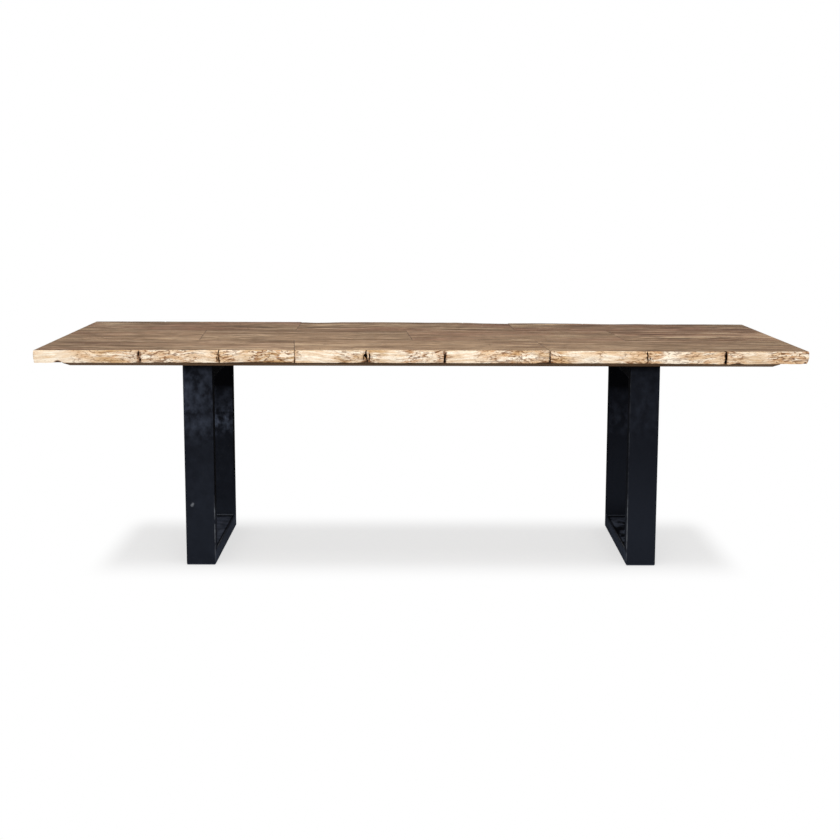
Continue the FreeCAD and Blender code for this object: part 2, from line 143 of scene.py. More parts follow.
# Stretches of the front edge where the rock broke smooth and pale: X from and to in mm, and how smooth.
CALM_STRETCHES = (
    (-1260, -1122, 0.85), (-1105, -1030, 0.3), (-720, -665, 0.65), (-600, -555, 0.5), (-406, -285, 0.8),
    (-135, -45, 0.7), (0, 45, 0.4), (88, 180, 0.75), (470, 560, 0.55), (590, 645, 0.5), (790, 850, 0.45),
    (1040, 1130, 0.65),
)
# Stretches of the front edge that iron has stained, or left clean where the share is below 0: X from and to
# in mm, and the share.
IRON_STRETCHES = (
    (-1260, -1150, -0.5), (-1130, -1080, -0.7), (-1050, -955, 0.75), (-950, -790, -0.5), (-715, -590, -1.0),
    (-590, -510, 0.6), (-520, -410, 1.1), (-285, -190, 0.6), (-190, -112, 1.0), (250, 290, -0.6),
    (295, 480, 0.65), (530, 595, -0.6), (605, 650, 0.3), (785, 860, -1.0), (1030, 1105, 0.35),
)
# Losses along the foot of the front edge, in mm: X of the middle, half the length, and the height that is
# gone. Below 0 it makes up for other losses.
FOOT_LOSSES = (
    (-1172, 19, 5.4), (-510, 105, 2.2), (-178, 30, 3.6), (404, 36, 4.2), (720, 310, 2.6), (1022, 24, 4.0),
    (1243, 7, 4.5), (230, 160, -1.5),
)

# How the packed slabs are read, in mm: levels of an end and their margin, the step that gives its slope,
# the spacing along the natural edge, what is left out at its ends and at its foot and top, and how far
# outside it the rays start. A median over so many readings on either side leaves the cracks out, and a blur
# by shares the facets.
END_LEVELS = 13
LEVEL_MARGIN = 0.4
SLOPE_STEP = 80.0
READING_STEP = 4.0
END_MARGIN = 12.0
FACE_MARGIN = 0.3
OUTSIDE = 50.0
MEDIAN_HALF = 4
BLUR = (0.06, 0.24, 0.4, 0.24, 0.06)
# Spacing of the slab meshes in mm: columns along the edge, closer in cracks and at the ends, and the step
# under which one is left out; rows up the face as a count or as shares of its height, rows at distances
# from the long edge and from the joint, and how far below the top the joint's arris begins.
COLUMN_STEP = 2.2
CRACK_STEP = 0.8
CRACK_REACH = 8.0
END_COLUMNS = np.array((0.0, 0.7, 1.6, 3.0))
LEAST_STEP = 0.3
FACE_ROWS = 20
SAWN_ROWS = (0.0, 0.5, 0.97, 0.985)
EDGE_DISTANCES = (1.2, 3.0, 6.0, 12.0, 24.0, 50.0, 110.0)
JOINT_DISTANCES = (6.0, 2.5, 1.0, 0.0)
JOINT_LIP = 3.0
# Wear in mm, as width and depth, of the ends and of the corners of a natural edge, and the depth alone of
# a sawn long edge.
END_WEAR = (2.2, 0.8)
CORNER_WEAR = (4.0, 1.5)
SAWN_WEAR = 0.6
# How far these reach, in mm: wear and soot from a joint, losses of the foot, wear of the top, the rind's
# colour under the slab, the darker rim of the back slabs, cracks on to the top, and spalled rock beside a
# crack.
JOINT_REACH = 3.2
FOOT_REACH = 14.0
LIP_REACH = 5.0
RIND_REACH = 8.0
BACK_RIM_REACH = 40.0
RUN_ON = 10.0
SPALL_REACH = 13.0
# How dark the top is at a joint, and along the rim of the back slabs. Flakes stay sharp from this angle.
JOINT_SOOT = 0.55
BACK_RIM_DARKNESS = 0.75
FLAKE_ANGLE = math.radians(38)
# The weld beads of the loops in mm: size, depth of the root, ripples, spacing of the mesh and bare ends;
# points round each bead, and the angle that stays sharp.
WELD_SIZE = 4.6
WELD_ROOT = 0.4
WELD_RIPPLE = 4.2
WELD_STEP = 0.7
WELD_MARGIN = 6.0
WELD_ARC = 7
WELD_ANGLE = math.radians(60)
# The stage in m: half the floor, the shadow's middle along each axis and how far from it the floor shows it
# in full and at all, and each soft light's name, setting, size, place and aim.
FLOOR_HALF = 30.0
SHADOW_REACH = {"X": (-0.013, 1.01, 1.135), "Y": (0.0, 0.20, 0.52)}
SOFT_LIGHTS = (
    ("overhead_softbox", "key", (3.6, 2.6), (0.0, -0.4, 3.0), (0.0, -0.1, 0.7)),
    ("front_softbox", "front", (4.0, 2.4), (0.0, -5.0, 2.2), (0.0, 0.0, 0.6)),
)
# The camera's place in m, its turns in degrees to the side, up from straight down and about its axis, and
# the width of its sensor in mm.
CAMERA_PLACE = (-0.0123, -5.4076, 1.3182)
CAMERA_TURNS = ((-0.0892, "Z"), (90.0 - 9.0519, "X"), (0.1348, "Z"))
SENSOR_WIDTH = 36.0


def colour(text):
    """Turns an sRGB hex value to linear RGBA."""
    shares = [int(text[i:i + 2], 16) / 255 for i in (1, 3, 5)]
    return (*(s / 12.92 if s <= 0.04045 else ((s + 0.055) / 1.055) ** 2.4 for s in shares), 1.0)


def colour_choice(name, description, text):
    """A colour that the user can change."""
    return FloatVectorProperty(
        name=name, description=description, subtype="COLOR", size=4, min=0.0, max=1.0, default=colour(text)
    )


def length_choice(name, description, default, least, most):
    """A length in mm that the user can change."""
    return FloatProperty(
        name=name, description=description, unit="LENGTH",
        default=default * MM, min=least * MM, max=most * MM,
    )


class StoneSettings(bpy.types.PropertyGroup):
    """Colours and relief of the petrified wood."""

    dark_grain: colour_choice("Dark grain", "Darkest bands of the honed face", "#594433")
    grain: colour_choice("Grain", "Most of the honed face", "#8b735b")
    light_grain: colour_choice("Light grain", "Lightest bands of the honed face", "#ae967b")
    purple_grain: colour_choice("Purple grain", "Patches that iron has turned purple", "#7e5c4a")
    fleck: colour_choice("Fleck", "Small dark pores", "#3f2d21")
    vein: colour_choice("Vein", "Veins of clear silica on the honed face", "#c4aa8c")
    rind: colour_choice("Rind", "Raised parts of the natural edge", "#fcf0dc")
    rind_stain: colour_choice("Rind stain", "Iron stain on the natural edge", "#dcb88e")
    rind_recess: colour_choice("Rind recess", "Hollows of the natural edge", "#c79a70")
    rind_gold: colour_choice("Gold stain", "Stretches of the natural edge that iron has stained", "#c19b6a")
    rind_seam: colour_choice("Rind seam", "Seams between flakes of the natural edge", "#6f4525")
    # The crack colour is painted shade, at the bottom of the cracks and in deep losses of the foot.
    crack: colour_choice("Crack", "Bottom of the cracks", "#1c1009")
    relief: length_choice("Relief", "Depth of the flakes on the natural edge", 1.0, 0.0, 3.0)
    grain_width: length_choice("Grain width", "Width of a band of the grain", 46, 5, 200)


class SteelSettings(bpy.types.PropertyGroup):
    """Colours of the steel parts."""

    black: colour_choice("Blackening", "Most of the blackened steel", "#191b21")
    # The deep black is mostly painted shade: under the table top, on the inner sides and on the floor rail.
    shade_black: colour_choice("Deep blackening", "Upper ends of the legs", "#08080a")
    low_black: colour_choice("Low blackening", "Blackening near the floor", "#1d2027")
    bloom: colour_choice("Bloom", "Cloudy blotches that the blackening bath leaves", "#4a5160")
    # The scuff colour paints the chips, and painted highlights on the arrises and weld beads.
    scuff_and_highlight: colour_choice("Scuff", "Chips and rubbed arrises", "#9a9da3")
    # The dust also stands in for a painted reflection on the top of the floor rail.
    dust: colour_choice("Dust", "Dust on the floor rails", "#596070")
    zinc: colour_choice("Zinc plating", "Bolts and inserts", "#c3c6c9")
    bloom_size: length_choice("Bloom size", "Width of one blotch", 26, 5, 300)


class UndersideSettings(bpy.types.PropertyGroup):
    """Colours of what lies under and between the slabs."""

    board: colour_choice("Board stain", "Stained face of the board", "#6d553f")
    board_dark: colour_choice("Board grain", "Dark grain and glue lines of the board", "#3d2b1c")
    board_smear: colour_choice("Board smear", "Smears where the stain ran", "#21150b")
    resin: colour_choice("Joint resin", "Resin between the slabs", "#423124")
    adhesive: colour_choice("Adhesive", "Bed between slabs and board", "#8a8478")
    felt: colour_choice("Felt", "Pads under the floor rails", "#2a2a2c")


class StudioSettings(bpy.types.PropertyGroup):
    """Light and background of the stage."""

    fill: FloatProperty(name="Fill", description="Even light all round", default=0.60, min=0.0, max=2.0)
    key: FloatProperty(
        name="Key", description="Wide soft light overhead", default=56.0, min=0.0, max=1000.0, unit="POWER"
    )
    front: FloatProperty(
        name="Front", description="Soft light by the camera", default=84.0, min=0.0, max=1000.0, unit="POWER"
    )
    shadow: FloatProperty(
        name="Shadow", description="How much of the shadow the floor shows", default=0.36, min=0.0, max=1.0,
        subtype="FACTOR",
    )
    lens: FloatProperty(
        name="Lens", description="Focal length of the camera", default=65.867, min=10.0, max=300.0,
        unit="CAMERA",
    )


# Sockets go by name or by place. A MapRange has its value at 0, what that runs from and to at 1 and 2 and
# what it becomes at 3 and 4, which are 0 and 1 where they are left out. A Mix has its share at 0, its
# numbers at 2 and 3 and its colours at 6 and 7.
def add_node(tree, kind, inputs=None, out=0, stops=(), **settings):
    """Adds a shader node with its settings, its input values or links and its ramp's stops, and gives one of
    its outputs, or all of them where out is None."""
    node = tree.nodes.new(f"ShaderNode{kind}")
    for field, value in settings.items():
        setattr(node, field, value)
    for socket, value in (inputs or {}).items():
        if isinstance(value, bpy.types.NodeSocket):
            tree.links.new(value, node.inputs[socket])
        else:
            node.inputs[socket].default_value = value
    while stops and len(node.color_ramp.elements) < len(stops):
        node.color_ramp.elements.new(1.0)
    for place, (position, shade) in enumerate(stops):
        node.color_ramp.elements[place].position = position
        node.color_ramp.elements[place].color = shade
    return node.outputs if out is None else node.outputs[out]


def empty_tree(owner):
    """Empties the nodes of a material or a world, and gives what adds nodes to it."""
    owner.use_nodes = True
    owner.node_tree.nodes.clear()
    return partial(add_node, owner.node_tree)


def new_material(name):
    """An empty material, and what adds nodes to it."""
    material = bpy.data.materials.new(name)
    return material, empty_tree(material)


def set_surface(add, inputs):
    """Ends a material in a principled shader."""
    add("OutputMaterial", {"Surface": add("BsdfPrincipled", inputs)}, None)


def per_mm(*sizes):
    """The mapping scale at which a pattern repeats over these sizes in mm."""
    return tuple(1.0 / (size * MM) for size in sizes)


def grey(value):
    """A grey of even shares."""
    return (value, value, value, 1.0)


def lightened(shade, light):
    """A colour made lighter or darker."""
    return (*(light * c for c in shade[:3]), 1.0)


def noise_marks(add, place, **sizes_and_detail):
    """Noise patterns by name, each with its real sizes in mm along X, Y and Z and its fine detail."""
    marks = SimpleNamespace()
    for name, (*sizes, detail) in sizes_and_detail.items():
        scaled = add("Mapping", {"Vector": place, "Scale": per_mm(*sizes)})
        inputs = {"Vector": scaled, "Scale": 1.0, "Detail": detail, "Roughness": 0.58}
        setattr(marks, name, add("TexNoise", inputs, "Fac"))
    return marks


def lay_over(add, below, *layers):
    """Lays colours over another in turn. Each layer is its colour, a pattern, what the pattern runs from and
    to as the layer comes in, the layer's full share, and a mask where it has one."""
    for shade, pattern, low, high, most, *masks in layers:
        share = add("MapRange", {0: pattern, 1: low, 2: high, 3: 0.0, 4: most})
        for mask in masks:
            share = add("Math", {0: share, 1: mask}, operation="MULTIPLY")
        below = add("Mix", {0: share, 6: below, 7: shade}, 2, data_type="RGBA")
    return below


def vary(add, shade, *patterns):
    """Darkens and lightens a colour by patterns, each with what it runs from and to, and its spread."""
    for pattern, low, high, spread in patterns:
        light = add("MapRange", {0: pattern, 1: low, 2: high, 3: 1.0 - spread, 4: 1.0 + spread})
        shade = add("Mix", {0: 1.0, 6: shade, 7: light}, 2, data_type="RGBA", blend_type="MULTIPLY")
    return shade


def off_by(add, value, middle):
    """How far a value lies from a middle, on either side."""
    away = add("Math", {0: value, 1: middle}, operation="SUBTRACT")
    return add("Math", {0: away}, operation="ABSOLUTE")


def stone_marks(add, slab, stone):
    """What a slab's colours follow: patterns along its grain, X, Y and Z, and the marks on its mesh."""
    here = add("TexCoord", out="Object")
    moved = (slab.grain, slab.grain * 0.7, slab.grain * 0.4)
    place = add("VectorMath", {0: here, 1: moved}, operation="ADD")
    # The grain wanders sideways: 80 mm over 480 mm of length, and 22 mm over 130 mm.
    for length, wander in ((480, 80), (130, 22)):
        drift = add("Mapping", {"Vector": place, "Scale": per_mm(length, 260, 260)})
        drift = add("TexNoise", {"Vector": drift, "Scale": 1.0, "Detail": 1.0}, "Color")
        sideways = (0.0, wander * MM, wander * MM)
        place = add("VectorMath", {0: drift, 1: sideways, 2: place}, operation="MULTIPLY_ADD")
    width = stone.grain_width / MM
    marks = noise_marks(
        add, place,
        bands=(270, width, width, 4.0),
        smudges=(90, width * 0.6, width * 0.6, 4.0),
        streaks=(75, width * 0.3, width * 0.3, 4.0),
        # Growth rings are under 1 mm wide; here 2.6 mm, to show in the render.
        lines=(90, 2.6, 2.6, 2.0),
        contours=(420, 60, 60, 1.0),
        checks=(120, 3.6, 3.6, 1.0),
        clouds=(330, 190, 190, 2.0),
        pores=(26, 3.2, 3.2, 0.0),
        strata=(150, 60, 9, 3.0),
        seams=(62, 20, 13, 1.8),
        stains=(95, 40, 18, 3.0),
        mottle=(30, 12, 8.0, 4.0),
        grit=(8, 4.5, 4.0, 2.0),
    )
    shatter = {"Vector": add("Mapping", {"Vector": place, "Scale": per_mm(330, 170, 170)}), "Scale": 1.0}
    marks.healed = add("TexVoronoi", shatter, "Distance", feature="DISTANCE_TO_EDGE")
    marks.x, marks.y, marks.z = add("SeparateXYZ", {0: here}, None)
    for name in ("natural", "hollow", "broken", "iron"):
        setattr(marks, name, add("Attribute", out="Fac", attribute_name=name))
    return marks


def honed_face(add, marks, slab, stone):
    """Colour of a honed face: bands of brown grain, purple patches, rings, pores, healed cracks, veins."""
    low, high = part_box(slab.node)
    dark, middle, light = (
        (*(min(1.0, slab.tone * (m + slab.figure * (c - m))) for c, m in zip(shade, stone.grain[:3])), 1.0)
        for shade in (stone.dark_grain, stone.grain, stone.light_grain)
    )
    bands = ((0.36, dark), (0.47, middle), (0.53, middle), (0.64, light))
    purple = lightened(stone.purple_grain, slab.tone ** 0.6)
    honed = lay_over(
        add, add("ValToRGB", {"Fac": marks.bands}, stops=bands),
        (purple, marks.clouds, 0.40, 0.66, slab.purple),
        (dark, marks.smudges, 0.50, 0.66, 0.70),
    )
    # Bundles of rings follow the contours of the trunk, some 10 mm apart here.
    rings = add("Math", {0: marks.contours, 1: 40.0}, operation="MULTIPLY")
    rings = add("Math", {0: rings, 1: 1.0}, operation="PINGPONG")
    honed = vary(
        add, honed,
        (rings, 0.0, 1.0, 0.14),
        (marks.streaks, 0.36, 0.64, 0.24 * slab.figure),
        (marks.lines, 0.36, 0.64, 0.11),
        (marks.x, low.x, high.x, slab.fade),
    )
    behind = add("Math", {0: marks.streaks, 1: 80 * MM, 2: marks.y}, operation="MULTIPLY_ADD")
    honed = lay_over(
        add, honed,
        # The grain darkens along the back joint over some 100 mm, with a ragged inner border.
        (dark, behind, high.y - 58 * MM, high.y + 36 * MM, slab.heart),
        (stone.fleck, marks.pores, 0.70, 0.78, 0.6),
        (stone.fleck, marks.checks, 0.69, 0.75, 0.6),
        # Healed cracks cross the grain, 1.5 mm wide and some 300 mm apart, where the iron clouds are.
        (stone.fleck, marks.healed, 0.007, 0.002, 0.55, marks.clouds),
    )
    for start, end, y, half in VEINS.get(slab.node, ()):
        # The vein thins towards its ends and wavers with the streaks of the grain.
        reach = (end - start) / 2
        off_middle = off_by(add, marks.x, (start + end) / 2 * MM)
        along = add("MapRange", {0: off_middle, 1: reach * MM, 2: reach * 0.6 * MM})
        waver = add("MapRange", {0: marks.streaks, 1: 0.3, 2: 0.7, 3: (y - half) * MM, 4: (y + half) * MM})
        aside = off_by(add, marks.y, waver)
        honed = lay_over(add, honed, (stone.vein, aside, half * MM, half * 0.3 * MM, 0.7, along))
    return lay_over(add, honed, (stone.fleck, marks.hollow, 0.15, 0.9, 0.75))


def natural_rind(add, marks, slab, stone):
    """Colour of the broken natural edge: chalky and cream, stained by iron, tan in its hollows, dark in its
    seams, browner where the rock lies deep, partly as painted shade, and near black in its cracks as painted
    shade."""
    low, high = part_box(slab.node)
    stained = 0.56 - 0.22 * slab.rust
    patchy = add("MapRange", {0: marks.broken, 3: 0.35, 4: 1.0})
    layered = add("MapRange", {0: marks.broken, 3: 0.2 + 1.1 * slab.rust, 4: 0.4})
    clean, rusty = (add("MapRange", {0: marks.iron, 1: 0.0, 2: full}) for full in (-1.0, 1.0))
    return lay_over(
        add, stone.rind,
        (stone.rind_stain, marks.stains, stained, stained + 0.12, 0.9, patchy),
        # Its layers show as stained streaks, and where it broke smooth the more so the rustier it is.
        (stone.rind_stain, marks.strata, 0.505, 0.575, 1.0, layered),
        # The rind is a darker tan along the foot and just below the top arris.
        (stone.rind_stain, marks.z, low.z + 13 * MM, low.z + 3 * MM, 0.6, marks.strata),
        (stone.rind_stain, marks.z, high.z - 6 * MM, high.z - 2 * MM, 0.6, marks.strata),
        (stone.rind_recess, marks.mottle, 0.48, 0.60, 0.9, marks.broken),
        (stone.rind, marks.stains, 0.62, 0.46, 0.8, clean),
        (stone.rind_gold, marks.stains, 0.36, 0.56, 0.75, rusty),
        (stone.rind_seam, off_by(add, marks.seams, 0.5), 0.040, 0.012, 0.85, marks.broken),
        (stone.rind_seam, marks.grit, 0.58, 0.65, 0.8, marks.broken),
        # Deep rock turns seam brown, partly as painted shade; cracks and deep losses of the foot go near
        # black as painted shade.
        (stone.rind_seam, marks.hollow, 0.28, 0.56, 0.9),
        (stone.crack, marks.hollow, 0.72, 1.0, 1.0),
    )


def petrified_wood(slab, stone):
    """Petrified wood: silica has kept the grain of the wood in browns. The sawn faces are honed to a low
    sheen, and the broken natural edge is rough and has less."""
    material, add = new_material(f"petrified_wood_honed_{slab.node}")
    marks = stone_marks(add, slab, stone)
    ragged = add("MapRange", {0: marks.mottle, 1: 0.3, 2: 0.7, 3: -0.25, 4: 0.25})
    ragged = add("Math", {0: marks.natural, 1: ragged}, operation="ADD")
    edge = add("MapRange", {0: ragged, 1: 0.3, 2: 0.75}, interpolation_type="SMOOTHSTEP")
    honed = honed_face(add, marks, slab, stone)
    rind = natural_rind(add, marks, slab, stone)
    satin = add("MapRange", {0: marks.streaks, 1: 0.3, 2: 0.7, 3: 0.66, 4: 0.78})
    relief = add("Bump", {"Height": marks.lines, "Distance": 0.12 * MM, "Strength": 0.6})
    for pattern, depth in ((marks.mottle, 2.2), (marks.grit, 0.9)):
        height = add("Math", {0: pattern, 1: edge}, operation="MULTIPLY")
        inputs = {"Height": height, "Distance": depth * MM, "Strength": 0.8, "Normal": relief}
        relief = add("Bump", inputs, invert=True)
    set_surface(add, {
        "Base Color": add("Mix", {0: edge, 6: honed, 7: rind}, 2, data_type="RGBA"),
        "Roughness": add("Mix", {0: edge, 2: satin, 3: 0.92}),
        # Silica has an IOR of 1.54; the honed face scatters, so it shines much less than a polished one.
        "IOR": 1.54,
        "Specular IOR Level": 0.03,
        "Normal": relief,
    })
    return material


def steel_marks(add, leg, steel):
    """What a leg's colours follow: patterns, distances from the table's middle, and where its faces look."""
    here = add("TexCoord", out="Object")
    size = steel.bloom_size / MM
    marks = noise_marks(
        add, add("VectorMath", {0: here, 1: (leg.seed,) * 3}, operation="ADD"),
        blotches=(size, size, size * 1.2, 5.0),
        clouds=(size * 5, size * 5, size * 7, 2.0),
        wipes=(9, 9, 160, 2.0),
        wear=(16, 16, 30, 3.0),
        dust=(40, 42, 12, 3.0),
        # Mill scale is finer than this; drawn at 2.5 mm, to show in the render.
        scale=(2.5, 2.5, 2.5, 2.0),
    )
    marks.here = here
    marks.y = add("SeparateXYZ", {0: here}, "Y")
    away = add("VectorMath", {0: here}, operation="ABSOLUTE")
    marks.across, marks.along, marks.height = add("SeparateXYZ", {0: away}, None)
    normal = add("NewGeometry", out="Normal")
    towards = add("SeparateXYZ", {0: normal}, None)
    facing = add("VectorMath", {0: normal}, operation="ABSOLUTE")
    facing = add("SeparateXYZ", {0: facing}, None)
    marks.squarest = add("Math", {0: facing[0], 1: facing[1]}, operation="MAXIMUM")
    marks.squarest = add("Math", {0: marks.squarest, 1: facing[2]}, operation="MAXIMUM")
    # Inner faces look to the middle of the table, and lying ones look up from the floor rail.
    inward = -math.copysign(1.0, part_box(f"{leg.name}_leg_front_post")[0].x)
    inner = add("Math", {0: towards["X"], 1: inward}, operation="MULTIPLY")
    marks.inner = add("MapRange", {0: inner, 1: 0.6, 2: 0.9})
    lying = add("MapRange", {0: towards["Z"], 1: 0.8, 2: 0.97})
    marks.lying = add("MapRange", {0: marks.height, 1: 200 * MM, 2: 80 * MM, 4: lying})
    return marks


def bath_unevenness(add, marks, leg):
    """How unevenly the bath took, and what the pattern of its blotches runs from and to as they come in."""
    # The loop hung aslant in the bath, so that its blotches lie some 70 mm lower on the rear post. There
    # they end in a bright rim, and on the front post they are softer and grow stronger upwards.
    line = add("Math", {0: marks.y, 1: 0.12, 2: marks.height}, operation="MULTIPLY_ADD")
    rim, above, begin, end, faint, full = (
        add("MapRange", {0: marks.y, 1: -300 * MM, 2: 200 * MM, 3: front, 4: rear})
        for front, rear in (
            (0.20 * leg.bloom, 1.25 * leg.bloom), (0.72 * leg.bloom, 0.46 * leg.bloom),
            (360 * MM, 450 * MM), (590 * MM, 530 * MM), (0.37, 0.44), (0.71, 0.66),
        )
    )
    upper = add("MapRange", {0: line, 1: 375 * MM, 2: 435 * MM, 3: 0.06 * leg.bloom, 4: rim})
    upper = add("MapRange", {0: line, 1: begin, 2: end, 3: upper, 4: above})
    cloud = add("MapRange", {0: marks.clouds, 1: 0.40, 2: 0.60, 3: 0.55, 4: 1.0})
    return add("Math", {0: upper, 1: cloud}, operation="MULTIPLY"), faint, full


def bathed_black_and_shade(add, marks, leg, steel, bath):
    """Colour of a loop as it came from the bath, with its mitres ground, and painted shade at its upper ends
    and on its inner sides.
    """
    post, rail = (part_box(f"{leg.name}_leg_{part}") for part in ("front_post", "floor_rail"))
    uneven, faint, full = bath
    lower = lightened(steel.low_black, leg.lower)
    shade = lay_over(
        add, lightened(steel.black, leg.upper),
        (lower, marks.height, 460 * MM, 120 * MM, 1.0),
        (steel.bloom, marks.blotches, faint, full, 1.0, uneven),
    )
    # The tubes meet at 45 degrees at the corners of the loop, where the ground weld is a lighter seam.
    for way, corner in ((1.0, post[0].z - post[0].y), (-1.0, -post[1].z - post[0].y)):
        mitre = add("Math", {0: marks.height, 1: way, 2: marks.along}, operation="MULTIPLY_ADD")
        shade = lay_over(add, shade, (steel.bloom, off_by(add, mitre, corner), 5 * MM, 1 * MM, 0.4))
    line = add("Math", {0: marks.y, 1: 0.26, 2: marks.height}, operation="MULTIPLY_ADD")
    return lay_over(
        add, shade,
        # Painted shade under the table top: the upper ends are blackest, on the rear post from some 160 mm
        # lower down.
        (steel.shade_black, line, 588 * MM, 612 * MM, 0.95),
        # Painted shade on the inner sides: blacker above 200 mm and blackest near the top. They are paler
        # along the floor rail.
        (steel.shade_black, marks.height, 170 * MM, 230 * MM, leg.inner, marks.inner),
        (steel.shade_black, marks.height, 560 * MM, 620 * MM, 0.95, marks.inner),
        (steel.bloom, marks.height, rail[1].z, rail[1].z - 10 * MM, 0.4, marks.inner),
    )


def dust_and_soot(add, marks, leg, steel, shade):
    """Lays over a leg's colour the dust of the floor rail, which also paints a reflection there, and the
    painted shade and highlights of the rail and of the corners above it.
    """
    post, rail = (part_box(f"{leg.name}_leg_{part}") for part in ("front_post", "floor_rail"))
    opening, rail_top = -post[1].y, rail[1].z
    inside = min(abs(post[0].x), abs(post[1].x))
    even = 1.0 - leg.smudged
    reach = 0.05 + 0.14 * even
    middle = 0.52 - 0.07 * even
    behind = add("MapRange", {0: marks.y, 1: 150 * MM, 2: 200 * MM})
    corner = marks.height, rail_top + 70 * MM, rail_top + 15 * MM
    bead = WELD_SIZE * MM
    off_bead = 0.0
    for value, centre in ((marks.along, opening - 0.6 * bead), (marks.height, rail_top + 0.6 * bead)):
        off_bead = add("Math", {0: off_by(add, value, centre), 1: off_bead}, operation="MAXIMUM")
    return lay_over(
        add, shade,
        # The lying faces of the floor rail are darkened by the leg's share and paled by dust, which also
        # stands in for a painted reflection.
        (steel.shade_black, marks.lying, 0.0, 1.0, 0.8 * leg.smudged),
        (steel.dust, marks.dust, middle - reach, middle + reach, 0.56 + 0.26 * even, marks.lying),
        # The foot of the rear post, in its corner with the floor rail, is paler where the rail is little
        # darkened, and darker, as painted shade, where it is much darkened.
        (steel.dust, *corner, 0.07 * even, behind),
        (steel.shade_black, *corner, 0.4 * leg.smudged, behind),
        # Painted shadow on the floor rail before its corners, and a painted line of shade along its inner
        # arris.
        (steel.shade_black, marks.along, opening - 34 * MM, opening - 20 * MM, 0.9, marks.lying),
        (steel.shade_black, marks.across, inside + 10 * MM, inside + 6 * MM, 0.9, marks.lying),
        # The lower weld beads are paler: a painted highlight.
        (steel.scuff_and_highlight, off_bead, 0.55 * bead, 0.45 * bead, 0.14 - 0.12 * leg.smudged),
    )


def arris_highlight_and_chips(add, marks, leg, steel, shade):
    """Lays a painted highlight on the rounded arrises, and the chips, over a leg's colour."""
    # A painted highlight on the arrises that face the middle of the table, low on the front posts.
    worn = 1.0
    for value, start, end, least in (
        (marks.height, 250 * MM, 190 * MM, 0.35 * (1.0 - leg.inner)),
        (marks.across, 790 * MM, 710 * MM, 0.1),
        (marks.y, 100 * MM, -200 * MM, 0.0),
        (marks.height, 30 * MM, 70 * MM, 0.3),
    ):
        share = add("MapRange", {0: value, 1: start, 2: end, 3: least})
        worn = add("Math", {0: share, 1: worn}, operation="MULTIPLY")
    arris = add("MapRange", {0: marks.squarest, 1: 0.985, 2: 0.86, 4: worn})
    shade = lay_over(add, shade, (steel.scuff_and_highlight, marks.wear, 0.36, 0.60, 0.32, arris))
    for *place, width in leg.chips:
        centre = [c * MM for c in place]
        reach = add("VectorMath", {0: marks.here, 1: centre}, "Value", operation="DISTANCE")
        ragged = add("Math", {0: marks.wear, 1: 6 * MM, 2: reach}, operation="MULTIPLY_ADD")
        shade = lay_over(add, shade, (steel.scuff_and_highlight, ragged, width * MM, width * 0.5 * MM, 0.34))
    return shade


def blackened_steel(leg, steel):
    """Steel box section, blackened in a bath and waxed: blue-black and matt, with cloudy blotches where the
    bath took unevenly, dust and chips, painted shade at the upper ends and on the inner sides, painted
    highlights on the arrises and weld beads, and a painted reflection and painted shadow on the floor rail."""
    material, add = new_material(f"blackened_waxed_steel_{leg.name}_leg")
    marks = steel_marks(add, leg, steel)
    bath = bath_unevenness(add, marks, leg)
    shade = bathed_black_and_shade(add, marks, leg, steel, bath)
    shade = dust_and_soot(add, marks, leg, steel, shade)
    shade = arris_highlight_and_chips(add, marks, leg, steel, shade)
    wiped = add("MapRange", {0: marks.wipes, 1: 0.3, 2: 0.7, 3: 0.68, 4: 0.80})
    set_surface(add, {
        "Base Color": shade,
        "Roughness": add("Math", {0: bath[0], 1: 0.06, 2: wiped}, operation="MULTIPLY_ADD"),
        "IOR": 1.5,
        "Specular IOR Level": 0.001,
        "Normal": add("Bump", {"Height": marks.scale, "Distance": 0.05 * MM, "Strength": 0.5}),
    })
    return material


def stained_board(underside):
    """Birch plywood, stained dark: long open grain on its faces, and glue lines along its sawn edges."""
    material, add = new_material("stained_birch_plywood")
    marks = noise_marks(
        add, add("TexCoord", out="Object"),
        grain=(420, 9, 60, 4.0),
        figure=(600, 70, 200, 2.0),
        smears=(120, 120, 12, 2.0),
        # Veneers are 1.5 mm thick; a ply line each 5 mm here, to show in the render.
        plies=(900, 900, 2.5, 0.0),
    )
    upright = add("SeparateXYZ", {0: add("NewGeometry", out="Normal")}, "Z")
    upright = add("Math", {0: upright}, operation="ABSOLUTE")
    on_edge = add("MapRange", {0: upright, 1: 0.5, 2: 0.98, 3: 1.0, 4: 0.0})
    grain = add("Math", {0: marks.grain, 1: marks.figure}, operation="ADD")
    grain = add("MapRange", {0: grain, 1: 0.8, 2: 1.25})
    ply = add("MapRange", {0: marks.plies, 1: 0.40, 2: 0.62})
    mark = add("Mix", {0: on_edge, 2: grain, 3: ply})
    shade = add("Mix", {0: mark, 6: underside.board_dark, 7: underside.board}, 2, data_type="RGBA")
    set_surface(add, {
        "Base Color": lay_over(add, shade, (underside.board_smear, marks.smears, 0.50, 0.62, 0.7, on_edge)),
        "Roughness": add("MapRange", {0: mark, 3: 0.72, 4: 0.55}),
        "IOR": 1.5,
        "Specular IOR Level": 0.04,
        "Normal": add("Bump", {"Height": mark, "Distance": 0.25 * MM, "Strength": 0.5}),
    })
    return material


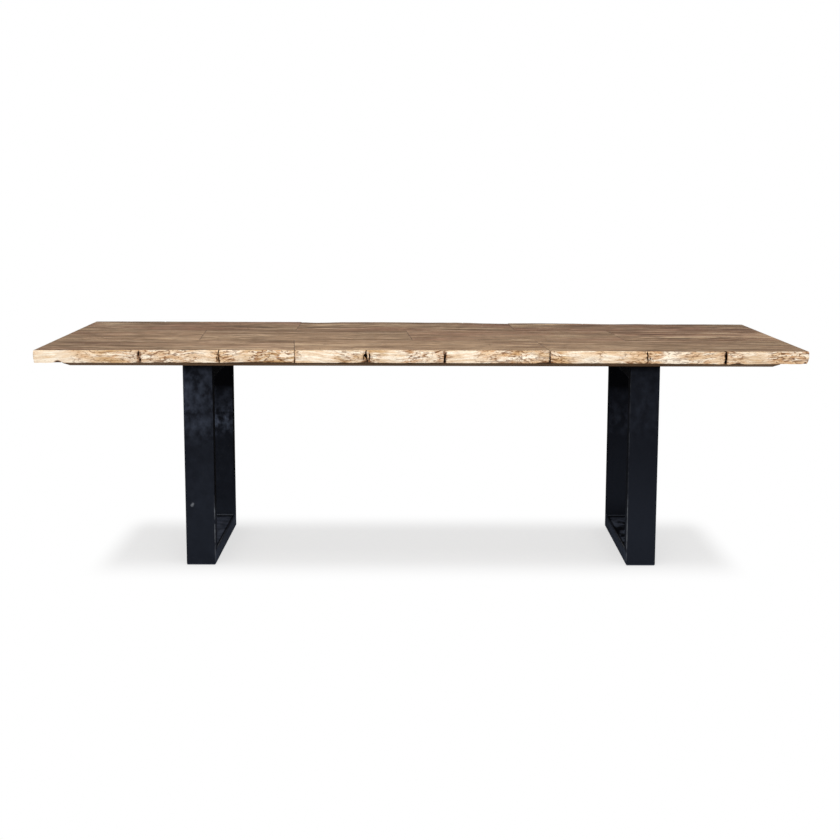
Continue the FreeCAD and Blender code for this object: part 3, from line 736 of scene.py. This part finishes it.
def speckled(name, shade, size, spread, rough, depth, constants):
    """A plain finish with fine speckle: a spread of lightness, roughness and height at one size in mm."""
    material, add = new_material(name)
    scaled = add("Mapping", {"Vector": add("TexCoord", out="Object"), "Scale": per_mm(*size)})
    grain = add("TexNoise", {"Vector": scaled, "Scale": 1.0, "Detail": 4.0, "Roughness": 0.6}, "Fac")
    set_surface(add, {
        "Base Color": vary(add, shade, (grain, 0.3, 0.7, spread)),
        "Roughness": add("MapRange", {0: grain, 1: 0.3, 2: 0.7, 3: rough - 0.08, 4: rough + 0.08}),
        "Normal": add("Bump", {"Height": grain, "Distance": depth * MM, "Strength": 0.6}),
        **constants,
    })
    return material


def finish_node(node, material):
    """Gives a node of the packed frame its finish."""
    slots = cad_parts[node].data.materials
    slots.clear()
    slots.append(material)


def finish_leg(leg, parts, material):
    """Gives parts of a leg their finish."""
    for part in parts:
        finish_node(f"{leg.name}_leg_{part}", material)


def new_object(name, data):
    """An object in the scene."""
    made = bpy.data.objects.new(name, data)
    bpy.context.scene.collection.objects.link(made)
    return made


def eased(distance, width, drop):
    """How far an arris has worn down at a distance from it."""
    return drop * np.clip(1.0 - distance / width, 0.0, 1.0) ** 2


class SlabReader:
    """Measures a slab of the packed frame, in mm, and sets out the columns of its new mesh along X."""

    def __init__(self, slab, cracks):
        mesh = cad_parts[slab.node].data
        corners = [vertex.co / MM for vertex in mesh.vertices]
        self.tree = BVHTree.FromPolygons(corners, [face.vertices[:] for face in mesh.polygons])
        low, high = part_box(slab.node)
        self.low, self.high = low / MM, high / MM
        self.middle = (self.low + self.high) / 2
        self.inward = -(slab.side or FRONT)
        self.edge_y, self.joint_y = (self.low.y, self.high.y)[::self.inward]
        self.levels = np.linspace(self.low.z + LEVEL_MARGIN, self.high.z - LEVEL_MARGIN, END_LEVELS)
        self.ends = {way: self.read_end(way) for way in (-1, 1)}
        self.start, self.stop = (float(self.end_x(way, self.edge_y, self.middle.z)) for way in (-1, 1))
        self.cracks = [crack for crack in cracks if self.start < crack.x < self.stop]
        self.set_columns()

    def hit(self, x, y, z, direction):
        """Where a ray from a point first meets the slab."""
        found = self.tree.ray_cast(Vector((x, y, z)), Vector(direction))[0]
        if found is None:
            raise RuntimeError(f"no rock at {x:.0f}, {y:.0f}, {z:.0f}")
        return found

    def read_end(self, way):
        """An end's X at the slab's middle, its slope over Y, and its profile over Z."""
        y = self.middle.y
        step = SLOPE_STEP * self.inward
        x = self.hit(self.middle.x, y, self.middle.z, (way, 0, 0)).x
        further = self.hit(self.middle.x, y + step, self.middle.z, (way, 0, 0)).x
        profile = [self.hit(self.middle.x, y, z, (way, 0, 0)).x - x for z in self.levels]
        return x, (further - x) / step, profile

    def end_x(self, way, y, z):
        """The X of an end at any Y and Z."""
        x, slope, profile = self.ends[way]
        return x + slope * (y - self.middle.y) + np.interp(z, self.levels, profile)

    def set_columns(self):
        """Sets out the columns, closer together at the ends and in the cracks, and the wear near them."""
        start, stop = self.start, self.stop
        sets = [np.arange(start, stop, COLUMN_STEP), start + END_COLUMNS, stop - END_COLUMNS]
        for crack in self.cracks:
            sets.append(np.arange(crack.x - CRACK_REACH, crack.x + CRACK_REACH, CRACK_STEP))
        columns = np.unique(np.concatenate(sets))
        columns = columns[(columns >= start) & (columns <= stop)]
        keep = np.concatenate(([True], np.diff(columns) > LEAST_STEP))
        keep[-1] = True
        self.columns = columns[keep]
        self.count = len(self.columns)
        self.share_along = (self.columns - start) / (stop - start)
        self.near_end = np.minimum(self.columns - start, stop - self.columns)
        self.end_drop = eased(self.near_end, *END_WEAR)
        # An end that lies inside the table is at a joint.
        left, right = (abs(x) < CAD_BOX[1].x / MM - END_MARGIN for x in (start, stop))
        self.at_joint = eased(self.columns - start, JOINT_REACH, left)
        self.at_joint = self.at_joint + eased(stop - self.columns, JOINT_REACH, right)

    def row_x(self, y, z):
        """The X of every column in a row at some Y and Z."""
        left, right = self.end_x(-1, y, z), self.end_x(1, y, z)
        return left + self.share_along * (right - left)

    def natural_edge(self, heights):
        """The natural edge's Y over X at each height, with the packed cracks and facets smoothed away."""
        xs = np.arange(self.start + END_MARGIN, self.stop - END_MARGIN, READING_STEP)
        outside = self.edge_y - OUTSIDE * self.inward
        readings = np.array([[self.hit(x, outside, z, (0, self.inward, 0)).y for x in xs] for z in heights])
        wide = np.pad(readings, ((0, 0), (MEDIAN_HALF, MEDIAN_HALF)), mode="edge")
        windows = np.lib.stride_tricks.sliding_window_view(wide, 2 * MEDIAN_HALF + 1, axis=1)
        blurred = len(BLUR) // 2
        wide = np.pad(np.median(windows, axis=2), ((0, 0), (blurred, blurred)), mode="edge")
        return xs, sum(share * wide[:, k:k + len(xs)] for k, share in enumerate(BLUR))


def within(x, start, end, blend):
    """1 inside a stretch of X and 0 outside it, blended over its ends."""
    return min(1.0, max(0.0, 0.5 + min(x - start, end - x) / blend))


def patches(x, z, width, height, seed):
    """Noise on a long edge from -1 to 1, in patches of a width and a height in mm."""
    return noise.noise((x / width, z / height, seed))


def rough_share(x, z, slab):
    """How broken the rock is at one place on the face: near 0 on calm stretches and 1 where it flakes."""
    broken = 0.85 + 0.5 * patches(x, z, 130, 60, slab.seed)
    if slab.side == FRONT:
        x += 22.0 * patches(x, z, 45, 12, slab.seed + 3.0)
        for start, end, smooth in CALM_STRETCHES:
            broken *= 1.0 - smooth * within(x, start, end, 30)
    return min(1.0, max(0.08, broken))


def iron_share(x, z, slab):
    """How much iron has stained the rock at one place on the face: below 0 where it has left it clean."""
    if slab.side != FRONT:
        return 0.0
    x += 18.0 * patches(x, z, 40, 10, slab.seed + 6.0)
    return sum(share * within(x, start, end, 24) for start, end, share in IRON_STRETCHES)


def foot_chip(x, slab):
    """How much of the lower arris has broken off at X, in mm: long shallow losses with a few deep bites."""
    loss = noise.noise((x / 85, 1.7, slab.seed)) + noise.noise((x / 17, 2.9, slab.seed))
    loss += 9.0 * max(0.0, noise.noise((x / 37, 4.3, slab.seed)) - 0.42)
    if slab.side == FRONT:
        loss += sum(
            height * max(0.0, 1.0 - ((x - middle) / half) ** 2) for middle, half, height in FOOT_LOSSES
        )
    return max(0.0, 0.2 + loss)


def rock_relief(x, z, seed):
    """Depth of the rock behind its smooth form, in mm: broad swells, and the flakes and fibres on them."""
    strand = z + 4.0 * patches(x, z, 60, 50, seed)
    swell = patches(x, strand, 48, 20, seed + 10)
    near, seats = noise.voronoi((x / 30, strand / 8, seed + 20))
    ledge = noise.noise(seats[0] * 3.7)
    crease = max(0.0, 1.0 - (near[1] - near[0]) / 0.22)
    fibre = patches(x, strand, 22, 2.6, seed + 30)
    grit = patches(x, z, 4.5, 3.0, seed + 40)
    flakes = 1.1 * (ledge + 1.0) + 1.5 * crease + 0.8 * (fibre + 0.6) + 0.4 * (grit + 0.5)
    return 0.9 * (swell + 1.0), max(0.0, flakes)


def crack_depth(x, share, crack, seed):
    """Depth of one crack at X and a share of the height: a ragged slot with spalled rock beside it."""
    shares, offsets, widths = zip(*crack.path)
    waver = 0.5 * noise.noise((share * 14.0, crack.x, seed))
    aside = abs(x - crack.x - np.interp(share, shares, offsets) - waver)
    ragged = 1.0 + 0.35 * noise.noise((share * 9.0, crack.x + 9.0, seed))
    half = np.interp(share, shares, widths) / 2 * ragged
    ends = min(1.0, max(0.0, (share - shares[0]) / 0.08 + 0.6), max(0.0, (shares[-1] - share) / 0.08 + 0.6))
    spall = 1.0 + 2.2 * noise.noise((x / 7.0, share * 9.0, seed + 5.0))
    spall = max(0.0, 1.0 - aside / SPALL_REACH) * spall
    return crack.depth * ends * max(0.0, 1.0 - aside / half) ** 0.4 + max(0.0, spall)


# The long edge of a slab: its rows as shares of the height, their Y, the wear of the top and the losses of
# the foot along it, and for each row how hollow, broken and stained the rock is.
Face = namedtuple("Face", "shares y worn chipped hollow broken iron")


def sawn_face(reader):
    """A sawn long edge, with its arrises eased."""
    flat = [0.0] * len(SAWN_ROWS)
    y = [reader.edge_y + reader.inward * reader.end_drop] * len(SAWN_ROWS)
    y[-1] = y[-1] + reader.inward * SAWN_WEAR / 2
    return Face(SAWN_ROWS, y, SAWN_WEAR, 0.0, flat, flat, flat)


def natural_face(reader, slab, relief_scale):
    """A natural long edge of flaked and cracked rock."""
    shares = np.linspace(0.0, 1.0, FACE_ROWS)
    worn = np.array([1.3 + 0.9 * noise.noise((x / 23, 7.7, slab.seed)) for x in reader.columns])
    chipped = np.array([foot_chip(x, slab) for x in reader.columns])
    foot, top = reader.low.z, reader.high.z
    heights = foot + FACE_MARGIN + (top - foot - 2 * FACE_MARGIN) * shares
    xs, smooth = reader.natural_edge(heights)
    face = Face(shares, [], worn, chipped, [], [], [])
    corner_drop = eased(reader.near_end, *CORNER_WEAR)
    for share, z, line in zip(shares, heights, smooth):
        places = reader.row_x(reader.edge_y, z)
        swell, flakes = np.array([rock_relief(x, z, slab.seed) for x in places]).T * relief_scale
        rough = np.array([rough_share(x, z, slab) for x in places])
        slots = [[crack_depth(x, share, crack, slab.seed) for x in places] for crack in reader.cracks]
        open_crack = np.max(slots, axis=0)
        # The rock is broken beside a crack, and the deeper the crack, the further.
        aside = [abs(places - crack.x) for crack in reader.cracks]
        halo = [1.3 - far / (0.5 * crack.depth) for far, crack in zip(aside, reader.cracks)]
        rough = np.clip(np.max((rough, *halo), axis=0), 0.0, 1.0)
        # Flakes fade out towards the worn top arris.
        fade = 0.35 + 0.65 * min(1.0, (1.0 - share) / 0.12)
        inset = swell + flakes * rough * fade + open_crack + corner_drop + 2.0 * reader.at_joint
        face.y.append(np.interp(reader.columns, xs, line) + reader.inward * inset)
        # Hollows are dark, partly as painted shade, and deep losses of the foot carry a painted shadow. The
        # deeper a crack, the more it stains the rock beside it. The joints darken towards the foot.
        painted_foot_shadow = np.maximum(0.0, chipped - 2.4) * 0.3 * max(0.0, 1.0 - share / 0.16)
        stain = [crack.depth / 28.0 - far / 12.0 for far, crack in zip(aside, reader.cracks)]
        stain = np.maximum(0.0, np.max(stain, axis=0) - 0.25)
        tinted = painted_foot_shadow + 0.3 * stain + max(0.0, 1.0 - 1.5 * share) * reader.at_joint
        face.hollow.append(flakes * rough * fade / 8.5 + open_crack / 9.0 + tinted)
        face.broken.append(rough)
        face.iron.append(np.array([iron_share(x, z, slab) for x in places]))
    return face


def slab_rings(slab, reader, face):
    """Rings of points along a slab, from the joint under it to the long edge and back over its top, each
    with its marks: how natural, hollow, broken and stained the rock is."""
    inward, top, foot = reader.inward, reader.high.z, reader.low.z
    rind = 0.0 if slab.side == SAWN else 1.0
    rings = []

    def add_ring(y, z, *marks):
        points = np.broadcast_arrays(reader.row_x(y, z), y, z)
        rings.append((np.stack(points, axis=1), *(np.broadcast_to(mark, reader.count) for mark in marks)))

    add_ring(reader.joint_y, foot, 0.0, 0.0, 0.0, 0.0)
    for distance in reversed(EDGE_DISTANCES):
        z = foot + eased(distance, FOOT_REACH, 1.0) * face.chipped
        tint = rind * max(0.0, 1.0 - distance / RIND_REACH)
        add_ring(face.y[0] + inward * distance, z, tint, face.hollow[0], face.broken[0], face.iron[0])
    for y, share, *marks in zip(face.y, face.shares, face.hollow, face.broken, face.iron):
        z = foot + face.chipped + (top - face.worn - reader.end_drop - foot - face.chipped) * share
        add_ring(y, z, rind, *marks)
    for distance in EDGE_DISTANCES:
        z = top - np.maximum(eased(distance, LIP_REACH, 1.0) * face.worn, reader.end_drop)
        tint = rind * max(0.0, 1.0 - distance / LIP_REACH)
        # The rim of the back slabs is darker; on the front only the cracks run on to the face.
        rim = face.hollow[-1] * 0.5 * (distance < RUN_ON)
        if slab.side == BACK:
            rim = BACK_RIM_DARKNESS * max(0.0, 1.0 - distance / BACK_RIM_REACH)
        hollow = rim + JOINT_SOOT * reader.at_joint
        add_ring(face.y[-1] + inward * distance, z, tint, hollow, face.broken[-1], face.iron[-1])
    # The arris of the joint is eased, and here and there a chip has come off it.
    chips = np.array([max(0.0, noise.noise((x / 11, 5.5, slab.seed)) - 0.35) for x in reader.columns])
    for distance in JOINT_DISTANCES:
        z = top - np.maximum(eased(distance, 1.4 + 6.0 * chips, 0.4 + 1.6 * chips), reader.end_drop)
        add_ring(reader.joint_y - inward * distance, z, 0.0, JOINT_SOOT * reader.at_joint, 0.0, 0.0)
    add_ring(reader.joint_y, top - JOINT_LIP, 0.0, 0.0, 0.0, 0.0)
    return rings


def ring_faces(total, count, face_rows):
    """Faces between rings of points, and strips across both ends that join the underside to the top."""
    faces = []
    for ring in range(total):
        above = (ring + 1) % total
        for c in range(count - 1):
            faces.append((ring * count + c, ring * count + c + 1, above * count + c + 1, above * count + c))
    # Across an end lie the rows of the face, then pairs of rows under and on the slab, then the joint.
    steps = len(EDGE_DISTANCES)
    first_top = 1 + steps + face_rows
    strips = [list(range(steps, first_top + 1))]
    strips += [[k, k + 1, first_top + steps - 1 - k, first_top + steps - k] for k in range(1, steps)]
    strips.append([0, 1, *range(first_top + steps - 1, total)])
    for strip in strips:
        faces.append([ring * count for ring in strip])
        faces.append([ring * count + count - 1 for ring in reversed(strip)])
    return faces


def make_slab(slab, stone, cracks=()):
    """Makes one slab as a closed mesh around its packed solid."""
    reader = SlabReader(slab, cracks)
    face = sawn_face(reader) if slab.side == SAWN else natural_face(reader, slab, stone.relief / MM)
    points, *marks = zip(*slab_rings(slab, reader, face))
    faces = ring_faces(len(points), reader.count, len(face.shares))
    if reader.inward < 0:
        faces = [corners[::-1] for corners in faces]
    mesh = bpy.data.meshes.new(f"{slab.node}_rock")
    mesh.from_pydata((np.concatenate(points) * MM).tolist(), [], faces)
    for name, values in zip(("natural", "hollow", "broken", "iron"), marks):
        mesh.attributes.new(name, "FLOAT", "POINT").data.foreach_set("value", np.concatenate(values))
    mesh.polygons.foreach_set("use_smooth", [True] * len(mesh.polygons))
    mesh.set_sharp_from_angle(angle=FLAKE_ANGLE)
    mesh.materials.append(petrified_wood(slab, stone))
    mesh.validate()
    piece = new_object(f"{slab.node}_rock", mesh)
    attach(piece, "root")
    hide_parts(slab.node)


def add_bead(beads, columns, opening, level, side, way):
    """Adds one rippled bead along X, in the corner between a post's inner face and a rail."""
    turns = np.linspace(0.0, math.pi / 2, WELD_ARC)
    rings = []
    for x in columns:
        to_end = min(x - columns[0], columns[-1] - x)
        ripple = 0.45 * math.sin(2 * math.pi * x / WELD_RIPPLE) + 0.8 * noise.noise((x / 13, side, way))
        radius = (WELD_SIZE + ripple) * min(1.0, 0.45 + to_end / 6.0)
        # Each ripple bows along the bead, and the root sits in the steel.
        points = [(x, side * (opening + WELD_ROOT), level - way * WELD_ROOT)]
        for turn in turns:
            bow = x + 1.1 * math.sin(2 * turn)
            inside = radius * math.cos(turn) - WELD_ROOT * (turn == turns[-1])
            rise = radius * math.sin(turn) - WELD_ROOT * (turn == turns[0])
            points.append((bow, side * (opening - inside), level + way * rise))
        rings.append([beads.verts.new(Vector(point) * MM) for point in points])
    for ring, after in zip(rings, rings[1:]):
        for k in range(len(ring)):
            beads.faces.new((ring[k], ring[k - 1], after[k - 1], after[k]))
    beads.faces.new(rings[0])
    beads.faces.new(rings[-1])


def make_corner_welds(leg):
    """Lays a rippled bead along each of the loop's four inner corners."""
    parts = ("floor_rail", "front_post", "top_rail")
    rail, post, cap = (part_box(f"{leg.name}_leg_{part}") for part in parts)
    columns = np.arange(post[0].x / MM + WELD_MARGIN, post[1].x / MM - WELD_MARGIN, WELD_STEP)
    beads = bmesh.new()
    for side in (-1, 1):
        for level, way in ((rail[1].z, 1), (cap[0].z, -1)):
            add_bead(beads, columns, -post[1].y / MM, level / MM, side, way)
    bmesh.ops.recalc_face_normals(beads, faces=beads.faces)
    mesh = bpy.data.meshes.new(f"{leg.name}_leg_corner_welds")
    beads.to_mesh(mesh)
    beads.free()
    mesh.polygons.foreach_set("use_smooth", [True] * len(mesh.polygons))
    mesh.set_sharp_from_angle(angle=WELD_ANGLE)
    mesh.materials.append(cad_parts[f"{leg.name}_leg_top_rail"].data.materials[0])
    piece = new_object(f"{leg.name}_leg_corner_welds", mesh)
    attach(piece, "root")


class TABLE_OT_natural_slabs(bpy.types.Operator):
    """Make the six outer slabs, each with a natural rock edge"""

    bl_idname = "petrified_table.natural_slabs"
    bl_label = "Natural slabs"

    def execute(self, context):
        for slab in NATURAL_SLABS:
            make_slab(slab, context.scene.table_stone, FRONT_CRACKS if slab.side == FRONT else BACK_CRACKS)
        return {"FINISHED"}


class TABLE_OT_sawn_slabs(bpy.types.Operator):
    """Make the four middle slabs, which are sawn on all sides"""

    bl_idname = "petrified_table.sawn_slabs"
    bl_label = "Sawn slabs"

    def execute(self, context):
        for slab in SAWN_SLABS:
            make_slab(slab, context.scene.table_stone)
        return {"FINISHED"}


class TABLE_OT_joint_fill(bpy.types.Operator):
    """Finish the resin between the slabs and the adhesive below them"""

    bl_idname = "petrified_table.joint_fill"
    bl_label = "Joint fill"

    def execute(self, context):
        underside = context.scene.table_underside
        # Cast epoxy resin, dark with stone dust: matt after honing, with a fine grit.
        resin = speckled(
            "cast_epoxy_resin_with_stone_dust", underside.resin, (16, 16, 4), 0.45, 0.7, 0.05,
            {"IOR": 1.55, "Specular IOR Level": 0.1},
        )
        # Polyurethane adhesive, combed on with a notched trowel: matt grey ridges across the table.
        putty = speckled(
            "combed_polyurethane_adhesive", underside.adhesive, (8, 90, 20), 0.15, 0.7, 0.4, {"IOR": 1.5}
        )
        finish_node("joint_resin", resin)
        finish_node("adhesive_bed", putty)
        return {"FINISHED"}


class TABLE_OT_backing_board(bpy.types.Operator):
    """Finish the board that carries the slabs"""

    bl_idname = "petrified_table.backing_board"
    bl_label = "Backing board"

    def execute(self, context):
        finish_node("backing_board", stained_board(context.scene.table_underside))
        return {"FINISHED"}


class TABLE_OT_loop_legs(bpy.types.Operator):
    """Finish the two loop legs, their mounting plates and welds"""

    bl_idname = "petrified_table.loop_legs"
    bl_label = "Loop legs"

    def execute(self, context):
        tubes = ("floor_rail", "rear_post", "top_rail", "front_post")
        for leg in LEGS:
            black = blackened_steel(leg, context.scene.table_steel)
            finish_leg(leg, (*tubes, "mounting_plate", "plate_welds"), black)
        return {"FINISHED"}


class TABLE_OT_corner_welds(bpy.types.Operator):
    """Make the weld beads in the inner corners of the two loops"""

    bl_idname = "petrified_table.corner_welds"
    bl_label = "Corner welds"

    def execute(self, context):
        for leg in LEGS:
            make_corner_welds(leg)
        return {"FINISHED"}


class TABLE_OT_fasteners(bpy.types.Operator):
    """Finish the bolts and threaded inserts that hold the legs"""

    bl_idname = "petrified_table.fasteners"
    bl_label = "Fasteners"

    def execute(self, context):
        # Steel, zinc plated: bright and slightly cloudy, with fine turning marks.
        bright = context.scene.table_steel.zinc
        zinc = speckled("zinc_plated_steel", bright, (3, 3, 3), 0.12, 0.3, 0.03, {"Metallic": 1.0})
        for leg in LEGS:
            finish_leg(leg, ("bolts", "threaded_inserts"), zinc)
        return {"FINISHED"}


class TABLE_OT_floor_pads(bpy.types.Operator):
    """Finish the felt pads under the floor rails"""

    bl_idname = "petrified_table.floor_pads"
    bl_label = "Floor pads"

    def execute(self, context):
        # Pressed wool felt: matt and dark, with a nap that catches light at its rim.
        felt = speckled(
            "pressed_wool_felt", context.scene.table_underside.felt, (2.5, 2.5, 2.5), 0.35, 0.9, 0.3,
            {"Sheen Weight": 0.4, "Sheen Roughness": 0.5},
        )
        for leg in LEGS:
            finish_leg(leg, ("front_floor_pad", "rear_floor_pad"), felt)
        return {"FINISHED"}


def seen_rays(add):
    """1 for camera, glossy and transmission rays, so that mirrors and glass see the background too."""
    path = add("LightPath", out=None)
    seen = 0.0
    for ray in ("Is Camera Ray", "Is Glossy Ray", "Is Transmission Ray"):
        seen = add("Math", {0: path[ray], 1: seen}, operation="MAXIMUM")
    return seen


def studio_world(studio):
    """An even white world for light, seen as plain white."""
    world = bpy.data.worlds.new("white_studio")
    bpy.context.scene.world = world
    add = empty_tree(world)
    light, white = (
        add("Background", {"Color": grey(1.0), "Strength": strength}) for strength in (studio.fill, 1.0)
    )
    both = add("MixShader", {0: seen_rays(add), 1: light, 2: white})
    add("OutputWorld", {"Surface": both}, None)


def studio_floor(studio):
    """A white paper floor that keeps the table's shadow and runs out to plain white."""
    mesh = bpy.data.meshes.new("studio_floor")
    corners = [(x * FLOOR_HALF, y * FLOOR_HALF, 0.0) for x, y in ((-1, -1), (1, -1), (1, 1), (-1, 1))]
    mesh.from_pydata(corners, [], [(0, 1, 2, 3)])
    floor = new_object("studio_floor", mesh)
    material, add = new_material("white_studio_paper")
    mesh.materials.append(material)
    here = add("SeparateXYZ", {0: add("TexCoord", out="Object")}, None)
    shaded = studio.shadow
    for axis, (middle, inner, outer) in SHADOW_REACH.items():
        away = off_by(add, here[axis], middle)
        near = {0: away, 1: inner, 2: outer, 3: 1.0, 4: 0.0}
        near = add("MapRange", near, interpolation_type="SMOOTHSTEP")
        shaded = add("Math", {0: near, 1: shaded}, operation="MULTIPLY")
    glow = add("Math", {0: 1.0, 1: shaded}, operation="SUBTRACT")
    glow = add("Math", {0: glow, 1: seen_rays(add)}, operation="MULTIPLY")
    paper = add("BsdfDiffuse", {"Color": grey(0.95)})
    white = add("Emission", {"Color": grey(1.0), "Strength": 1.0})
    add("OutputMaterial", {"Surface": add("MixShader", {0: glow, 1: paper, 2: white})}, None)


def soft_light(name, power, size, place, aim):
    """A wide area light that faces a point."""
    lamp = bpy.data.lights.new(name, "AREA")
    lamp.shape = "RECTANGLE"
    lamp.size, lamp.size_y = size
    lamp.energy = power
    light = new_object(name, lamp)
    light.location = place
    light.rotation_euler = (Vector(aim) - Vector(place)).to_track_quat("-Z", "Y").to_euler()


class TABLE_OT_studio(bpy.types.Operator):
    """Make the floor, the light and the camera"""

    bl_idname = "petrified_table.studio"
    bl_label = "Studio"

    def execute(self, context):
        studio = context.scene.table_studio
        context.scene.view_settings.view_transform = "Standard"
        studio_world(studio)
        studio_floor(studio)
        for name, setting, size, place, aim in SOFT_LIGHTS:
            soft_light(name, getattr(studio, setting), size, place, aim)
        lens = bpy.data.cameras.new("camera")
        lens.lens = studio.lens
        lens.sensor_width = SENSOR_WIDTH
        camera = new_object("camera", lens)
        stand = Matrix.Translation(CAMERA_PLACE)
        for angle, axis in CAMERA_TURNS:
            stand = stand @ Matrix.Rotation(math.radians(angle), 4, axis)
        camera.matrix_world = stand
        context.scene.camera = camera
        return {"FINISHED"}


class TABLE_PT_sidebar(bpy.types.Panel):
    """Steps and settings of the table"""

    bl_idname = "TABLE_PT_sidebar"
    bl_label = "Petrified wood table"
    bl_space_type = "VIEW_3D"
    bl_region_type = "UI"
    bl_category = "Table"

    def draw(self, context):
        for operator in OPERATORS:
            self.layout.operator(operator.bl_idname)
        for name, group in SETTINGS.items():
            box = self.layout.box()
            box.label(text=group.__doc__)
            for field in group.__annotations__:
                box.prop(getattr(context.scene, name), field)


SETTINGS = {
    "table_stone": StoneSettings,
    "table_steel": SteelSettings,
    "table_underside": UndersideSettings,
    "table_studio": StudioSettings,
}
OPERATORS = (
    TABLE_OT_natural_slabs,
    TABLE_OT_sawn_slabs,
    TABLE_OT_joint_fill,
    TABLE_OT_backing_board,
    TABLE_OT_loop_legs,
    TABLE_OT_corner_welds,
    TABLE_OT_fasteners,
    TABLE_OT_floor_pads,
    TABLE_OT_studio,
)


def register():
    for name, group in SETTINGS.items():
        bpy.utils.register_class(group)
        setattr(bpy.types.Scene, name, PointerProperty(type=group))
    for cls in (*OPERATORS, TABLE_PT_sidebar):
        bpy.utils.register_class(cls)


def unregister():
    for cls in (TABLE_PT_sidebar, *reversed(OPERATORS)):
        bpy.utils.unregister_class(cls)
    for name, group in SETTINGS.items():
        delattr(bpy.types.Scene, name)
        bpy.utils.unregister_class(group)


def main():
    """Makes every piece and the stage."""
    register()
    bpy.ops.petrified_table.natural_slabs()
    bpy.ops.petrified_table.sawn_slabs()
    bpy.ops.petrified_table.joint_fill()
    bpy.ops.petrified_table.backing_board()
    bpy.ops.petrified_table.loop_legs()
    bpy.ops.petrified_table.corner_welds()
    bpy.ops.petrified_table.fasteners()
    bpy.ops.petrified_table.floor_pads()
    bpy.ops.petrified_table.studio()


if __name__ == "__main__":
    main()
